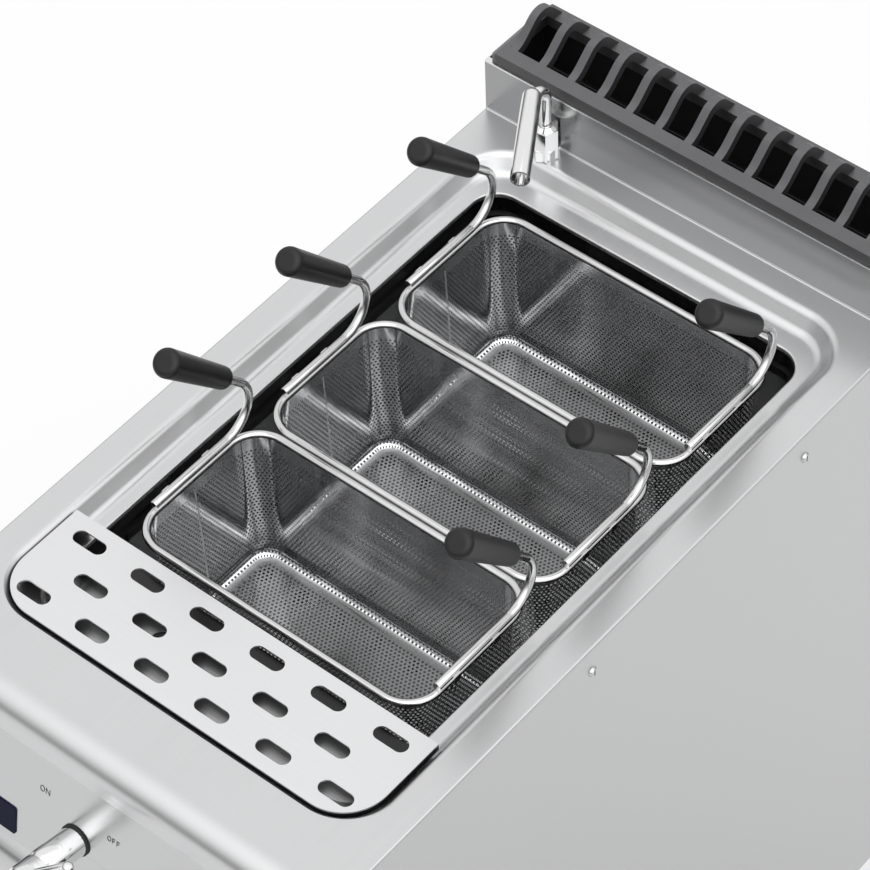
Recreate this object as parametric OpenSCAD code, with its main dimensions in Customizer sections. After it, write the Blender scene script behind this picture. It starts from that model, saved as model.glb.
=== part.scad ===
// Floor-standing gas pasta cooker, 400 mm wide: a pressed worktop round a water tank, three
// lift-out baskets on a raised bottom plate, a drain plate, a swivel filling spout and a flue
// grille on a splash-back, over a cabinet with a door and four screw feet.
// Millimetres. +X right, +Y back, +Z up, the front faces -Y and the feet stand on z = 0.

/* [Worktop] */
// Width of the worktop and of the cabinet
top_w = 400; // [380:1:440]
// Height of the worktop above the floor
top_h = 850; // [830:1:900]
// Depth of the worktop from its nose to the splash-back
top_d = 666; // [655:1:690]
// Thickness of the worktop sheet
sheet = 2; // [1.5:0.1:2.5]
// Radius of the rounded front nose
nose_r = 22; // [18:1:26]
// Straight lip below the nose
nose_lip = 5; // [4:1:8]
// Depth of the folded side skirts
skirt_h = 40; // [34:1:50]
// Margin from the worktop's side to the pressed recess
recess_side = 26; // [20:1:32]
// Margin from the nose to the recess
recess_front = 64; // [58:1:70]
// Margin from the recess to the splash-back
recess_back = 23; // [21:1:28]
// Corner radius of the recess
recess_r = 42; // [38:1:50]
// Depth of the recess
recess_h = 15; // [12:1:18]
// Run of the recess's sloping wall
recess_in = 10; // [8:1:12]

/* [Tank] */
// Ledge between the recess wall and the tank at the sides
ledge_side = 12; // [10:1:16]
// Ledge in front of the tank
ledge_front = 14; // [10:1:20]
// Ledge behind the tank
ledge_back = 19; // [14:1:24]
// Corner radius of the tank
tank_r = 24; // [22:1:30]
// Wall of the tank
tank_t = 2; // [1.5:0.1:2.5]
// Depth of the tank below the ledge
tank_depth = 190; // [180:1:200]
// Front to back run of the shelf in front of the well
shelf_d = 80; // [70:1:90]
// Depth of the shelf below the ledge
shelf_h = 18; // [14:1:24]
// Step of the well's walls in from the curb
well_in = 3; // [3:0.5:5]
// Bore of the overflow pipe
overflow_bore = 20; // [16:1:26]
// Radius between the tank's walls and its floor
tank_fillet = 18; // [14:1:20]
// Outer diameter of the drain stub
drain_d = 34; // [30:1:40]
// Gap between the raised bottom plate and the tank wall
plate_slack = 4; // [3:0.5:6]
// Diameter of the holes in the raised bottom plate
sieve_hole = 14; // [10:1:18]

/* [Drain plate] */
// Gap between the drain plate and the recess
plate_gap = 5; // [4:0.5:6]
// Depth of the drain plate, front to back
plate_d = 92; // [88:1:96]
// Sheet of the drain plate
plate_t = 1.5; // [1:0.1:2]
// How far the drain plate stands above the worktop
plate_proud = 1; // [0.5:0.1:2]
// Length of a drain slot
slot_len = 29; // [24:1:34]
// Width of a drain slot
slot_w = 12; // [8:1:14]
// Number of slots in the front and back rows
slot_count = 6; // [4:1:8]
// Spacing of the rows of slots
row_pitch = 29; // [26:0.5:31]

/* [Baskets] */
// Gap between a basket's rim and the tank's side walls
rim_side = 16; // [12:0.5:20]
// Depth of a basket's rim, front to back
rim_d = 140.5; // [132:0.5:141]
// Outer corner radius of the rim
rim_r = 30; // [28:1:34]
// Diameter of the rim wire
wire_d = 6; // [5:0.5:7]
// Gap between neighbouring rims
basket_gap = 1; // [1:0.5:5]
// Gap between the rear rim and the tank
basket_back = 15; // [12:1:20]
// Depth of the rim's middle below the worktop
rim_drop = 16; // [14:1:20]
// Depth of a basket below its rim
basket_h = 128; // [110:1:135]
// Sheet of a basket
basket_t = 1; // [0.8:0.1:1.5]
// Inward lean of a basket's wall from rim to floor
basket_lean = 4; // [2:0.5:6]
// Radius between a basket's walls and its floor
basket_fillet = 9; // [6:1:12]

/* [Handles] */
// Diameter of the handle rod
rod_d = 7; // [6:0.5:8]
// Distance from the basket's middle to the rod's front end
rod_front = 42; // [38:1:46]
// Radius of the rod's bend
bend_r = 28; // [24:0.5:30]
// Distance from the basket's middle to the bend's centre
bend_y = 32; // [29:1:35]
// Angle of the grip above the horizontal
grip_lean = 48; // [40:0.5:55]
// Bare rod between the bend and the grip
neck_len = 24; // [18:1:30]
// Length of the grip
grip_len = 88; // [82:1:100]
// Diameter of the grip at the neck
grip_d1 = 18; // [16:0.5:19]
// Diameter of the grip at its free end
grip_d2 = 22.5; // [21:0.5:24]
// Length of rod inside the grip
rod_in = 60; // [40:1:70]

/* [Spout] */
// Distance of the spout from the worktop's left edge
spout_side = 70; // [66:0.5:80]
// Distance of the spout in front of the splash-back
spout_back = 12; // [12:0.5:16]
// Outer diameter of the riser and its elbow
riser_d = 10; // [8:0.5:11]
// Outer diameter of the nozzle
spout_d = 15.5; // [14:0.5:18]
// Wall of the spout tube
spout_t = 1.2; // [1:0.1:1.5]
// Height of the nozzle above the worktop
spout_h = 73; // [66:1:80]
// Length of the nozzle
spout_reach = 88; // [80:1:92]
// Turn of the nozzle from straight ahead, towards the middle
spout_turn = 33; // [25:1:36]
// Radius of the elbow
spout_bend = 12; // [10:0.5:14]
// Straight tube between the elbow and the nozzle
spout_neck = 4.4; // [3:0.1:6]
// Width across the flats of the spout nut
nut_af = 19.5; // [18:0.5:20]
// Height of the spout nut
nut_h = 19; // [16:1:22]
// Height of the hexagon foot under the spout nut
nut_foot = 11; // [8:1:12]

/* [Flue] */
// Depth of the flue housing
flue_d = 74; // [72:1:80]
// Height of the splash-back
splash_h = 51; // [46:1:56]
// Thickness of the grille's frame
grille_h = 10; // [8:1:12]
// Width of the grille's front and back rails
grille_rail = 13; // [12:0.5:14]
// Width of the grille's two ends
grille_end = 12; // [10:1:13]
// Corner radius of the grille's frame
grille_r = 8; // [6:0.5:10]
// Width of the slope along the grille's two ends
grille_slope = 7; // [4:0.5:8]
// Number of ribs
rib_count = 14; // [10:1:16]
// Thickness of a rib
rib_t = 7; // [6:0.5:9]
// Depth of a rib's band
rib_band = 8; // [6:0.5:9]
// Height of the rib's crest above the rails
rib_rise = 19; // [17:1:22]

/* [Front] */
// Tilt of the control panel
panel_tilt = 10.5; // [8:0.5:12]
// Height of the control panel
panel_h = 105; // [100:1:115]
// How far the water tap stands in front of the nose
tap_reach = 70; // [66:1:76]
// Distance of the tap to the left of the middle
tap_left = 21; // [10:1:30]
// Distance of the tap, knob and igniter below the panel's top edge
tap_down = 62; // [58:1:66]
// Diameter of the tap's barrel
tap_d = 24; // [22:1:28]
// Length of the tap's lever from its axis
lever_len = 56; // [48:1:60]
// Distance of the gas knob from the panel's right end
knob_end = 88; // [75:1:95]
// Diameter of the gas knob
knob_d = 54; // [48:1:60]
// Height of the gas knob
knob_h = 30; // [26:1:34]
// Diameter of the gas knob's stem and of the other spindles
stem_d = 8; // [6:0.5:10]
// Distance of the igniter from the gas knob
igniter_off = 62; // [56:1:68]
// Travel of the igniter button
igniter_travel = 5; // [3:0.5:6]
// Width of the blank name plate
badge_w = 96; // [80:1:104]
// Height of the blank name plate
badge_h = 26; // [20:1:30]
// Distance of the name plate from the panel's left end
badge_end = 26; // [20:1:30]
// Distance of the name plate's middle below the panel's top edge
badge_down = 85; // [82:1:88]

/* [Cabinet] */
// Sheet of the side panels
side_t = 1.5; // [1:0.1:2]
// Height of the underside of the cabinet above the floor
base_h = 150; // [140:1:170]
// Thickness of the folded door
door_t = 20; // [16:1:22]
// Gap round the door
door_gap = 4; // [3:0.5:5]
// Diameter of the door's hinge pins
pin_d = 8; // [6:0.5:10]
// Reach of the door's rolled handle
handle_r = 24; // [20:1:28]
// Diameter of a leg tube
leg_d = 44; // [40:1:50]
// Wall of a leg tube
leg_t = 2; // [1.5:0.1:3]
// Diameter of a foot's pad
foot_d = 52; // [50:1:60]
// Height of a foot's pad
foot_h = 30; // [24:1:40]
// Distance of the rear panel in front of the flue's back
rear_set = 36; // [32:1:40]

/* [Clearances] */
// Radial running clearance of pins, stems and screws
run_gap = 0.05; // [0.02:0.01:0.1]
// Gap under pieces that lift off
seat_gap = 0.3; // [0.2:0.05:0.5]
// Clearance of rods and tubes through sheets
hole_gap = 1; // [0.5:0.1:1.5]
// Film of glue or sealant under pieces fixed to the tilted panel
film = 0.05; // [0.02:0.01:0.1]

/* [Hidden] */
$fn = 48;
eps = 0.01;

// Stations along the depth, measured so that the whole part is centred on the origin
y_tap = -(top_d + flue_d + tap_reach) / 2;
y_nose = y_tap + tap_reach;
y_crease = y_nose + top_d;
y_back = y_crease + flue_d;

// Worktop and tank
z_ledge = top_h - recess_h;
recess_w = top_w - 2 * recess_side;
recess_y0 = y_nose + recess_front;
recess_y1 = y_crease - recess_back;
recess_d = recess_y1 - recess_y0;
recess_y = (recess_y0 + recess_y1) / 2;
tank_w = recess_w - 2 * (recess_in + ledge_side);
tank_y0 = recess_y0 + recess_in + ledge_front;
tank_y1 = recess_y1 - recess_in - ledge_back;
tank_d = tank_y1 - tank_y0;
tank_y = (tank_y0 + tank_y1) / 2;
z_flange = z_ledge - sheet;
z_floor = z_flange - tank_depth;
z_shelf = z_flange - shelf_h;
well_w = tank_w - 2 * well_in;
well_y0 = tank_y0 + shelf_d;
well_y1 = tank_y1 - well_in;
well_d = well_y1 - well_y0;
well_y = (well_y0 + well_y1) / 2;
well_r = tank_r - well_in;
skirt_x = top_w / 2 - side_t;

// Baskets
z_rim = top_h - rim_drop;
rim_w = tank_w - 2 * rim_side;
basket_step = rim_d + basket_gap;
basket_rear_y = tank_y1 - basket_back - rim_d / 2;
basket_y = [for (i = [2, 1, 0]) basket_rear_y - i * basket_step];
basket_shift = [-1.5, 0.5, 2.5];
bend_set = [4.5, -6, 0.5];
lean_set = [1.4, 0, -1.4];
wall_gap = 0.125;
tongue = 1;
shell_w = rim_w - 2 * (wire_d + wall_gap);
shell_d = rim_d - 2 * (wire_d + wall_gap);
shell_r = rim_r - wire_d - wall_gap;
rod_x = rim_w / 2 - wire_d / 2;
rod_z = z_rim + (wire_d + rod_d) / 2 + wall_gap;
z_basket = z_rim - basket_h;
z_sieve = z_basket - seat_gap;

// Spout
spout_x = -top_w / 2 + spout_side;
spout_y = y_crease - spout_back;
spout_under = 12;

// Drain plate
plate_w = recess_w - 2 * plate_gap;
plate_y0 = recess_y0 + plate_gap;
plate_r = recess_r - plate_gap;
slot_pitch = plate_w / slot_count;
z_plate = top_h + plate_proud;

// Control panel: a point on its outer face, its middle and its lower edge
z_panel = top_h - nose_r - nose_lip;
panel_drop = panel_h * cos(panel_tilt);
panel_out = panel_h * sin(panel_tilt);
z_panel_low = z_panel - panel_drop;

// Door, cabinet and legs
z_door1 = z_panel_low - door_gap;
z_door0 = base_h + door_gap;
swing_gap = 10;
y_frame = y_nose + nose_r + 2;
y_door = y_frame - swing_gap - door_t;
hinge_x = -top_w / 2 + 14;
hinge_y = y_door + door_t / 2;
y_rear = y_back - rear_set;
leg_x = top_w / 2 - 45;
leg_y0 = y_frame + 50;
leg_y1 = y_rear - 50;
leg_bore = leg_d - 2 * leg_t;
foot_travel = 30;
hinge_plate = 3;
side_fold = 25;
pin_h = 14;

// Side screws
screw_d = 4;
screw_head = 2;
screw_z = top_h - 26;
screw_y = [for (share = [0.438, 0.817]) y_nose + share * top_d];

// Water tap
gasket_t = 1.5;
hub_h = 20;
hub_bevel = 3;
tap_neck_d = tap_d - 8;
tap_tip = y_nose - tap_down * sin(panel_tilt) - (tap_d / 2 - hub_bevel) * sin(panel_tilt);
tap_out = (tap_tip - y_tap) / cos(panel_tilt);
barrel_h = tap_out - hub_h - seat_gap;
neck_in = 20;

// Gas knob and igniter
knob_right = top_w / 2 - knob_end;
igniter_right = knob_right - igniter_off;
collar_d = 14;
knob_off = 1;
igniter_d = 18;
button_d = 14;
igniter_bore = 20;
igniter_flange = 4;

// Inside fittings
feed_d = 12;
inlet_d = 18;
feed_off = 10;
valve_depth = 66;
gas_body = [44, 36];
tap_body = [40, 30];
valve_low = 15;
supply_in = 22;
supply_y = y_frame + supply_in;
z_supply = z_panel_low + 7;
gas_feed_x = knob_right - feed_off;
gas_in_x = knob_right + feed_off;
water_feed_x = -tap_left - feed_off;
water_in_x = -tap_left + feed_off;
side_run = 38;
side_run_x = -top_w / 2 + side_run;
inlet_up = 95;
inlet_z = base_h + inlet_up;
inlet_short = 4;
inlet_end = y_back - inlet_short;
nipple_d = 21;
nipple_len = 18;
burner_d = 46;
burner_x = 70;
burner_drop = 75;
burner_z = z_floor - burner_drop;
burner_neck_d = 28;
burner_set = 104;
burner_end = 63;
burner_neck = 24;
burner_y = well_y0 + burner_set;
burner_len = well_y1 - burner_end - burner_neck - burner_y;
pilot_y = 110;
bar_t = 5;
z_bar = burner_z - burner_d / 2 + 1;
manifold_off = 12;
manifold_y = burner_y - manifold_off;
manifold_over = 12;
injector_d = 10;
box_off = 8;
box_y0 = burner_y + box_off;
box_in = 10;
box_w = tank_w - 2 * box_in;
box_h = 120;
box_t = 1.5;
duct_in = 12;
duct_y0 = y_crease + duct_in;
duct_side = 40;
duct_back = 3;
duct_up = 6;
duct_short = 6;
duct_mouth = [20, 12, 50];
drain_set = 45;
drain_y = well_y0 + drain_set;
drain_bore = drain_d - 2 * tank_t;
stub_len = 30;
valve_drop = 70;
valve_z = z_floor - valve_drop;
outlet_drop = 30;
z_outlet = valve_z - outlet_drop;
overflow_x = -60;
overflow_y = (tank_y0 + well_y0) / 2;
overflow_d = overflow_bore + 2 * tank_t;
overflow_drop = 3;
z_join = z_outlet - overflow_d / 2 - overflow_drop;
waste_drop = 40;
z_waste = base_h - waste_drop;
tail_len = 32;
bonnet = 36;
spindle = 12;
lever_gap = 6;
drain_reach = gas_feed_x - feed_d / 2 - lever_gap;
drain_arm = [14, 3];
drain_hub = 18;
drain_grip = [50, 9];
grip_root = 20;
stem_len = 22;
collar_len = 14;
grille_gap = 2;

// Rectangle with round corners, centred
module round_rect(w, d, r) {
    square([w - 2 * r, d], center = true);
    square([w, d - 2 * r], center = true);
    for (x = [-1, 1], y = [-1, 1])
        translate([x * (w / 2 - r), y * (d / 2 - r)]) circle(r);
}

// Carries a profile round a rectangle with round corners. The profile's x runs outwards
// from the rectangle's edge and its y runs upwards.
module frame_sweep(w, d, r) {
    for (i = [0, 1, 2, 3]) {
        across = i % 2 == 0 ? w : d;
        along = i % 2 == 0 ? d : w;
        rotate(90 * i) {
            translate([across / 2, along / 2 - r, 0])
                rotate([90, 0, 0])
                    linear_extrude(along - 2 * r) children();
            translate([across / 2 - r, along / 2 - r, 0])
                rotate_extrude(angle = 90) translate([r, 0]) children();
        }
    }
}

// Places a profile drawn in depth (x) and height (y) as a bar along X, centred
module along_x(length) {
    translate([-length / 2, 0, 0])
        rotate([90, 0, 90]) linear_extrude(length) children();
}

// Points of a circular arc
function arc(c, r, a0, a1, steps) =
    [for (i = [0 : steps]) let (a = a0 + (a1 - a0) * i / steps) c + r * [cos(a), sin(a)]];

// Round bar through a list of points, with ball corners
module pipe_run(points, d) {
    for (i = [0 : len(points) - 2]) {
        p = points[i];
        v = points[i + 1] - p;
        translate(p)
            rotate([0, acos(v[2] / norm(v)), atan2(v[1], v[0])]) cylinder(d = d, h = norm(v));
        if (i > 0) translate(p) sphere(d = d);
    }
}

// Moves to a spot on the control panel's face, with +Z out of the panel and +Y up along it
module on_panel(x, down) {
    translate([x, y_nose - down * sin(panel_tilt), z_panel - down * cos(panel_tilt)])
        rotate([90 - panel_tilt, 0, 0]) children();
}

// Points of a tongue on the upright edge that climbs t from p, rooted in the sheet beside it
function rooted(p, side, t) = [
    p + [0, t / 4], p + [side * tongue, t / 4], p + [side * tongue, 3 * t / 4], p + [0, 3 * t / 4]
];

module worktop() {
    color("silver") {
        translate([0, 0, top_h - sheet]) linear_extrude(sheet) difference() {
            translate([-top_w / 2, y_nose + nose_r])
                square([top_w, top_d - nose_r + sheet]);
            translate([0, recess_y]) round_rect(recess_w, recess_d, recess_r);
            translate([spout_x, spout_y]) circle(d = riser_d + 2 * hole_gap);
        }
        translate([0, recess_y, top_h]) frame_sweep(recess_w, recess_d, recess_r)
            polygon(concat(
                [[-recess_in, -recess_h - sheet], [0, -sheet]], rooted([0, -sheet], 1, sheet),
                [[0, 0], [-recess_in, -recess_h]], rooted([-recess_in, -recess_h], -1, -sheet)
            ));
        translate([0, 0, z_flange]) linear_extrude(sheet) difference() {
            translate([0, recess_y])
                round_rect(recess_w - 2 * recess_in, recess_d - 2 * recess_in, recess_r - recess_in);
            translate([0, tank_y]) round_rect(tank_w, tank_d, tank_r);
        }
        along_x(top_w) nose_profile(sheet);
        for (x = [-1, 1])
            translate([x * (top_w - sheet) / 2, 0, 0])
                along_x(sheet) nose_profile(nose_r);
        difference() {
            for (x = [-1, 1])
                translate([x * (skirt_x - sheet / 2) - sheet / 2, y_frame, top_h - skirt_h])
                    cube([sheet, y_crease - y_frame, skirt_h - sheet]);
            screw_holes();
        }
    }
}

// Holes of the side screws, right across the cabinet
module screw_holes() {
    for (y = screw_y) translate([0, y, screw_z])
        rotate([0, 90, 0]) cylinder(d = screw_d + 2 * run_gap, h = top_w + 2, center = true);
}

// Quarter round of the worktop's nose with its lip, t thick
module nose_profile(t) {
    translate([y_nose + nose_r, top_h - nose_r]) difference() {
        intersection() {
            circle(nose_r);
            translate([-nose_r, 0]) square(nose_r);
        }
        if (t < nose_r) circle(nose_r - t);
    }
    translate([y_nose, top_h - nose_r - nose_lip]) square([t, nose_lip]);
}

// Shallow shelf inside a curb, and a deep well behind it
module tank() {
    wall_h = z_shelf - tank_t / 2 - z_floor - tank_fillet;
    color("dimgray") difference() {
        union() {
            translate([0, tank_y, z_shelf]) frame_sweep(tank_w, tank_d, tank_r) {
                translate([0, -tank_t / 2]) square([tank_t, shelf_h + tank_t / 2]);
                translate([0, shelf_h - tank_t]) square([ledge_side - 2, tank_t]);
            }
            translate([0, 0, z_shelf - tank_t]) linear_extrude(tank_t) difference() {
                translate([0, tank_y])
                    round_rect(tank_w + tank_t, tank_d + tank_t, tank_r + tank_t / 2);
                translate([0, well_y])
                    round_rect(well_w + tank_t, well_d + tank_t, well_r + tank_t / 2);
                translate([overflow_x, overflow_y]) circle(d = overflow_bore);
            }
            translate([0, well_y, z_floor]) frame_sweep(well_w, well_d, well_r) {
                translate([0, tank_fillet]) square([tank_t, wall_h]);
                translate([-tank_fillet, tank_fillet]) intersection() {
                    difference() {
                        circle(tank_fillet + tank_t);
                        circle(tank_fillet);
                    }
                    translate([0, -tank_fillet - tank_t]) square(tank_fillet + tank_t);
                }
            }
            translate([0, well_y, z_floor - tank_t]) linear_extrude(tank_t)
                round_rect(well_w - 2 * tank_fillet, well_d - 2 * tank_fillet, well_r - tank_fillet);
            translate([0, drain_y, z_floor - stub_len]) cylinder(d = drain_d, h = stub_len);
        }
        translate([0, drain_y, z_floor - stub_len - eps])
            cylinder(d = drain_bore, h = stub_len + 1);
    }
}

// Pipe from the shelf's overflow hole down to the waste pipe, with a flange under the shelf
module overflow_pipe() {
    top = z_shelf - tank_t - seat_gap;
    flange = 2;
    color("gainsboro") difference() {
        union() {
            translate([overflow_x, overflow_y, top - flange])
                cylinder(d = overflow_d + 6 * flange, h = flange);
            pipe_run([
                [overflow_x, overflow_y, top - flange / 2], [overflow_x, overflow_y, z_join],
                [overflow_x, drain_y, z_join], [0, drain_y, z_join]
            ], overflow_d);
        }
        translate([overflow_x, overflow_y, z_join])
            cylinder(d = overflow_bore, h = top - z_join + 1);
        translate([0, drain_y, z_join - overflow_d])
            cylinder(d = drain_d + 2 * seat_gap, h = 2 * overflow_d);
    }
}

// Perforated plate on folded legs that carries the baskets
module raised_bottom() {
    w = well_w - 2 * plate_slack;
    y0 = basket_y[0] - rim_d / 2;
    y1 = well_y1 - plate_slack;
    d = y1 - y0;
    step = 36;
    fold_x = well_w / 2 - tank_fillet - 2;
    color("darkgray") {
        translate([0, (y0 + y1) / 2, z_sieve - plate_t]) linear_extrude(plate_t) difference() {
            round_rect(w, d, well_r - plate_slack);
            for (x = [-3 : 3], y = [-5 : 5]) translate([x * step, y * step]) circle(d = sieve_hole);
        }
        for (x = [-1, 1])
            translate([x * fold_x - plate_t / 2, y0 + well_r, z_floor])
                cube([plate_t, d - 2 * well_r, z_sieve - plate_t - z_floor]);
    }
}

module drain_plate() {
    rail_h = z_plate - plate_t - z_ledge - seat_gap;
    rail_x = tank_w / 2 + ledge_side / 2;
    fold_h = 5;
    color("whitesmoke") {
        translate([0, 0, z_plate - plate_t]) linear_extrude(plate_t) difference() {
            plate_outline(0);
            for (row = [0, 1, 2], i = [1 : slot_count - row % 2])
                translate([
                    (i - (slot_count + 1 - row % 2) / 2) * slot_pitch,
                    plate_y0 + plate_d / 2 + (1 - row) * row_pitch
                ]) slot();
        }
        translate([0, 0, z_plate - plate_t - fold_h]) linear_extrude(fold_h) difference() {
            plate_outline(0);
            plate_outline(plate_t);
        }
        for (x = [-1, 1])
            translate([x * rail_x - plate_t / 2, plate_y0 + plate_r, z_ledge + seat_gap])
                cube([plate_t, plate_d - plate_r - plate_t, rail_h]);
    }
}

// Outline of the drain plate with round front corners, drawn in by a margin
module plate_outline(margin) {
    w = plate_w - 2 * margin;
    r = plate_r - margin;
    y0 = plate_y0 + margin;
    y1 = plate_y0 + plate_d - margin;
    translate([-w / 2, y0 + r]) square([w, y1 - y0 - r]);
    translate([-w / 2 + r, y0]) square([w - 2 * r, r]);
    for (x = [-1, 1]) translate([x * (w / 2 - r), y0 + r]) circle(r);
}

module slot() {
    square([slot_len - slot_w, slot_w], center = true);
    for (x = [-1, 1]) translate([x * (slot_len - slot_w) / 2, 0]) circle(d = slot_w);
}

module at_basket(i) {
    translate([basket_shift[i], basket_y[i], 0]) children();
}

module basket_shell(i) {
    f = basket_fillet;
    lean = basket_lean;
    outer = arc([-lean - f, f], f, 0, -90, 6);
    inner = arc([-lean - f, f], f - basket_t, -90, 0, 6);
    inset = lean + f;
    color("lightgray") at_basket(i) translate([0, 0, z_basket]) {
        frame_sweep(shell_w, shell_d, shell_r)
            polygon(concat(
                [[-basket_t, basket_h], [0, basket_h]], outer, rooted([-inset, 0], -1, basket_t), inner
            ));
        linear_extrude(basket_t)
            round_rect(shell_w - 2 * inset, shell_d - 2 * inset, shell_r - inset);
    }
}

module basket_rim(i) {
    color("white") at_basket(i) translate([0, 0, z_rim])
        frame_sweep(rim_w - wire_d, rim_d - wire_d, rim_r - wire_d / 2) circle(d = wire_d);
}

// Rod of one handle in the plane of the basket's end, drawn thinner in its bend, with two weld tabs
module handle_rod(i) {
    bend = bend_y + bend_set[i];
    tilt = 90 - grip_lean - lean_set[i];
    thinned = 0.1;
    over = 1;
    tab_w = 7;
    tab_t = 3;
    translate([0, -rod_front, 0]) rotate([-90, 0, 0])
        cylinder(d = rod_d, h = rod_front + bend + over);
    translate([0, bend, bend_r]) {
        rotate([90, 0, 90]) rotate([0, 0, -90]) rotate_extrude(angle = 90 + tilt)
            translate([bend_r, 0]) circle(d = rod_d - thinned);
        rotate([tilt, 0, 0]) translate([0, bend_r, -over])
            cylinder(d = rod_d, h = neck_len + rod_in + over);
    }
    for (y = [2 * tab_w - rod_front, bend - 3 * tab_w])
        translate([(rod_d - tab_t) / 2, y, -(rod_d + wire_d) / 2])
            cube([tab_t, tab_w, (rod_d + wire_d) / 2]);
}

module both_ends() {
    for (x = [0, 1]) mirror([x, 0, 0]) translate([rod_x, 0, rod_z]) children();
}

module basket_rods(i) {
    color("gainsboro") at_basket(i) both_ends() difference() {
        handle_rod(i);
        translate([0, 0, z_rim - rod_z]) rotate([90, 0, 0])
            cylinder(d = wire_d + 2 * wall_gap, h = rim_d, center = true);
    }
}

// Turned grip with a swollen, rounded free end
module handle_grip(i) {
    r1 = grip_d1 / 2;
    r2 = grip_d2 / 2;
    round1 = 5;
    round2 = 5;
    bore = rod_d / 2 + run_gap;
    profile = concat(
        [[bore, 0]],
        arc([r1 - round1, round1], round1, -90, 0, 6),
        arc([r2 - round2, grip_len - round2], round2, 0, 90, 6),
        [[0, grip_len], [0, rod_in + 1], [bore, rod_in + 1]]
    );
    translate([0, bend_y + bend_set[i], bend_r]) rotate([90 - grip_lean - lean_set[i], 0, 0])
        translate([0, bend_r, neck_len]) rotate_extrude() polygon(profile);
}

module basket_grips(i) {
    color([0.12, 0.12, 0.13]) at_basket(i) both_ends() handle_grip(i);
}

// Hexagon nut with a flat cone on top, on a hexagon foot turned a little from it
module spout_nut() {
    cone_h = 2.5;
    foot_over = 1;
    across = nut_af / cos(30);
    cone_r = nut_af / 2 - 0.5;
    tip_r = riser_d / 2 + 1;
    top = nut_foot + nut_h;
    color("gainsboro") translate([spout_x, spout_y, top_h]) difference() {
        union() {
            rotate(26) cylinder(d = across + foot_over, h = nut_foot, $fn = 6);
            rotate(8) translate([0, 0, tongue]) cylinder(d = across, h = top - tongue, $fn = 6);
            rotate_extrude() polygon([
                [0, top - tongue], [cone_r - tongue, top - tongue], [cone_r, top],
                [tip_r, top + cone_h], [0, top + cone_h]
            ]);
        }
        translate([0, 0, -1]) cylinder(d = riser_d + 2 * run_gap, h = top + cone_h + 2);
    }
}

// Riser and elbow of the spout, lengthened below and towards the nozzle
module spout_riser(d, below, ahead) {
    rise = spout_h - spout_bend;
    under = sheet + spout_under;
    translate([0, 0, -under - below]) cylinder(d = d, h = rise + under + below);
    translate([0, -spout_bend, rise])
        rotate([90, 0, 90]) rotate_extrude(angle = 90) translate([spout_bend, 0]) circle(d = d);
    translate([0, -spout_bend, spout_h]) rotate([90, 0, 0]) cylinder(d = d, h = spout_neck + ahead);
}

// Moves to the closed end of the nozzle, with +Z along the nozzle
module at_nozzle() {
    translate([0, -spout_bend - spout_neck, spout_h]) rotate(spout_turn) rotate([90, 0, 0]) children();
}

// Bent tube let into the side of a nozzle with a domed end
module spout_tube() {
    r = spout_d / 2;
    inlet_gap = 2;
    color("white") translate([spout_x, spout_y, top_h]) difference() {
        union() {
            spout_riser(riser_d, 0, -inlet_gap);
            at_nozzle() rotate_extrude()
                polygon(concat(arc([0, 0], r, -90, 0, 8), [[r, spout_reach], [0, spout_reach]]));
        }
        spout_riser(riser_d - 2 * spout_t, 1, inlet_gap);
        at_nozzle() cylinder(r = r - spout_t, h = spout_reach + 1);
    }
}

// Box behind the worktop whose front wall is the splash-back, with a floor behind the duct
module flue_housing() {
    lip = 8;
    floor_t = 1.5;
    floor_in = y_rear - y_crease;
    color("silver") translate([0, y_crease, 0]) {
        translate([-top_w / 2, 0, top_h]) cube([top_w, sheet, splash_h]);
        for (x = [-1, 1])
            translate([x * (top_w - sheet) / 2 - sheet / 2, sheet, top_h - sheet])
                cube([sheet, flue_d - sheet, splash_h + sheet]);
        translate([-top_w / 2, flue_d - sheet, top_h - sheet]) cube([top_w, sheet, splash_h + sheet]);
        translate([-top_w / 2, 0, top_h + splash_h - sheet]) cube([top_w, lip, sheet]);
        translate([-top_w / 2, flue_d - lip, top_h + splash_h - sheet]) cube([top_w, lip, sheet]);
        translate([sheet / 2 - top_w / 2, floor_in, top_h - floor_t])
            cube([top_w - sheet, flue_d - sheet / 2 - floor_in, floor_t]);
    }
}

module flue_duct() {
    w = top_w - 2 * duct_side;
    y0 = duct_y0;
    y1 = y_rear - side_t - duct_back;
    z0 = z_floor - box_h + duct_up;
    z1 = top_h + splash_h - sheet - duct_short;
    color("gray") translate([-w / 2, y0, z0]) difference() {
        cube([w, y1 - y0, z1 - z0]);
        translate([box_t, box_t, box_t]) cube([w - 2 * box_t, y1 - y0 - 2 * box_t, z1 - z0]);
        translate([duct_mouth[0], -1, duct_mouth[1]])
            cube([w - 2 * duct_mouth[0], box_t + 2, box_h - duct_mouth[2]]);
    }
}

// Rib of the grille, rooted in both rails: a hollow curve up, then a crest that turns down.
// The line lies side below the rib's upper edge.
function rib_line(side) =
    let (
        up = 42,
        down = 50,
        root = 2,
        sink = 1,
        dip = 3,
        foot_y = 9,
        foot_r = 22,
        crest_r = 16,
        knee = [foot_y + foot_r * sin(up), foot_r * (1 - cos(up)) - sink],
        climb = rib_rise - knee[1] - crest_r * (1 - cos(up)),
        crest = [knee[0] + climb / tan(up) + crest_r * sin(up), rib_rise - crest_r],
        fall = crest[1] + crest_r * cos(down) + dip,
        toe = crest + crest_r * [sin(down), cos(down)] + fall * [1 / tan(down), -1]
    )
    concat(
        [[root, -sink - side]],
        arc([foot_y, foot_r - sink], foot_r + side, -90, -90 + up, 5),
        arc(crest, crest_r - side, 90 + up, 90 - down, 8),
        [toe - side * [1 / sin(down), 0]]
    );

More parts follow.
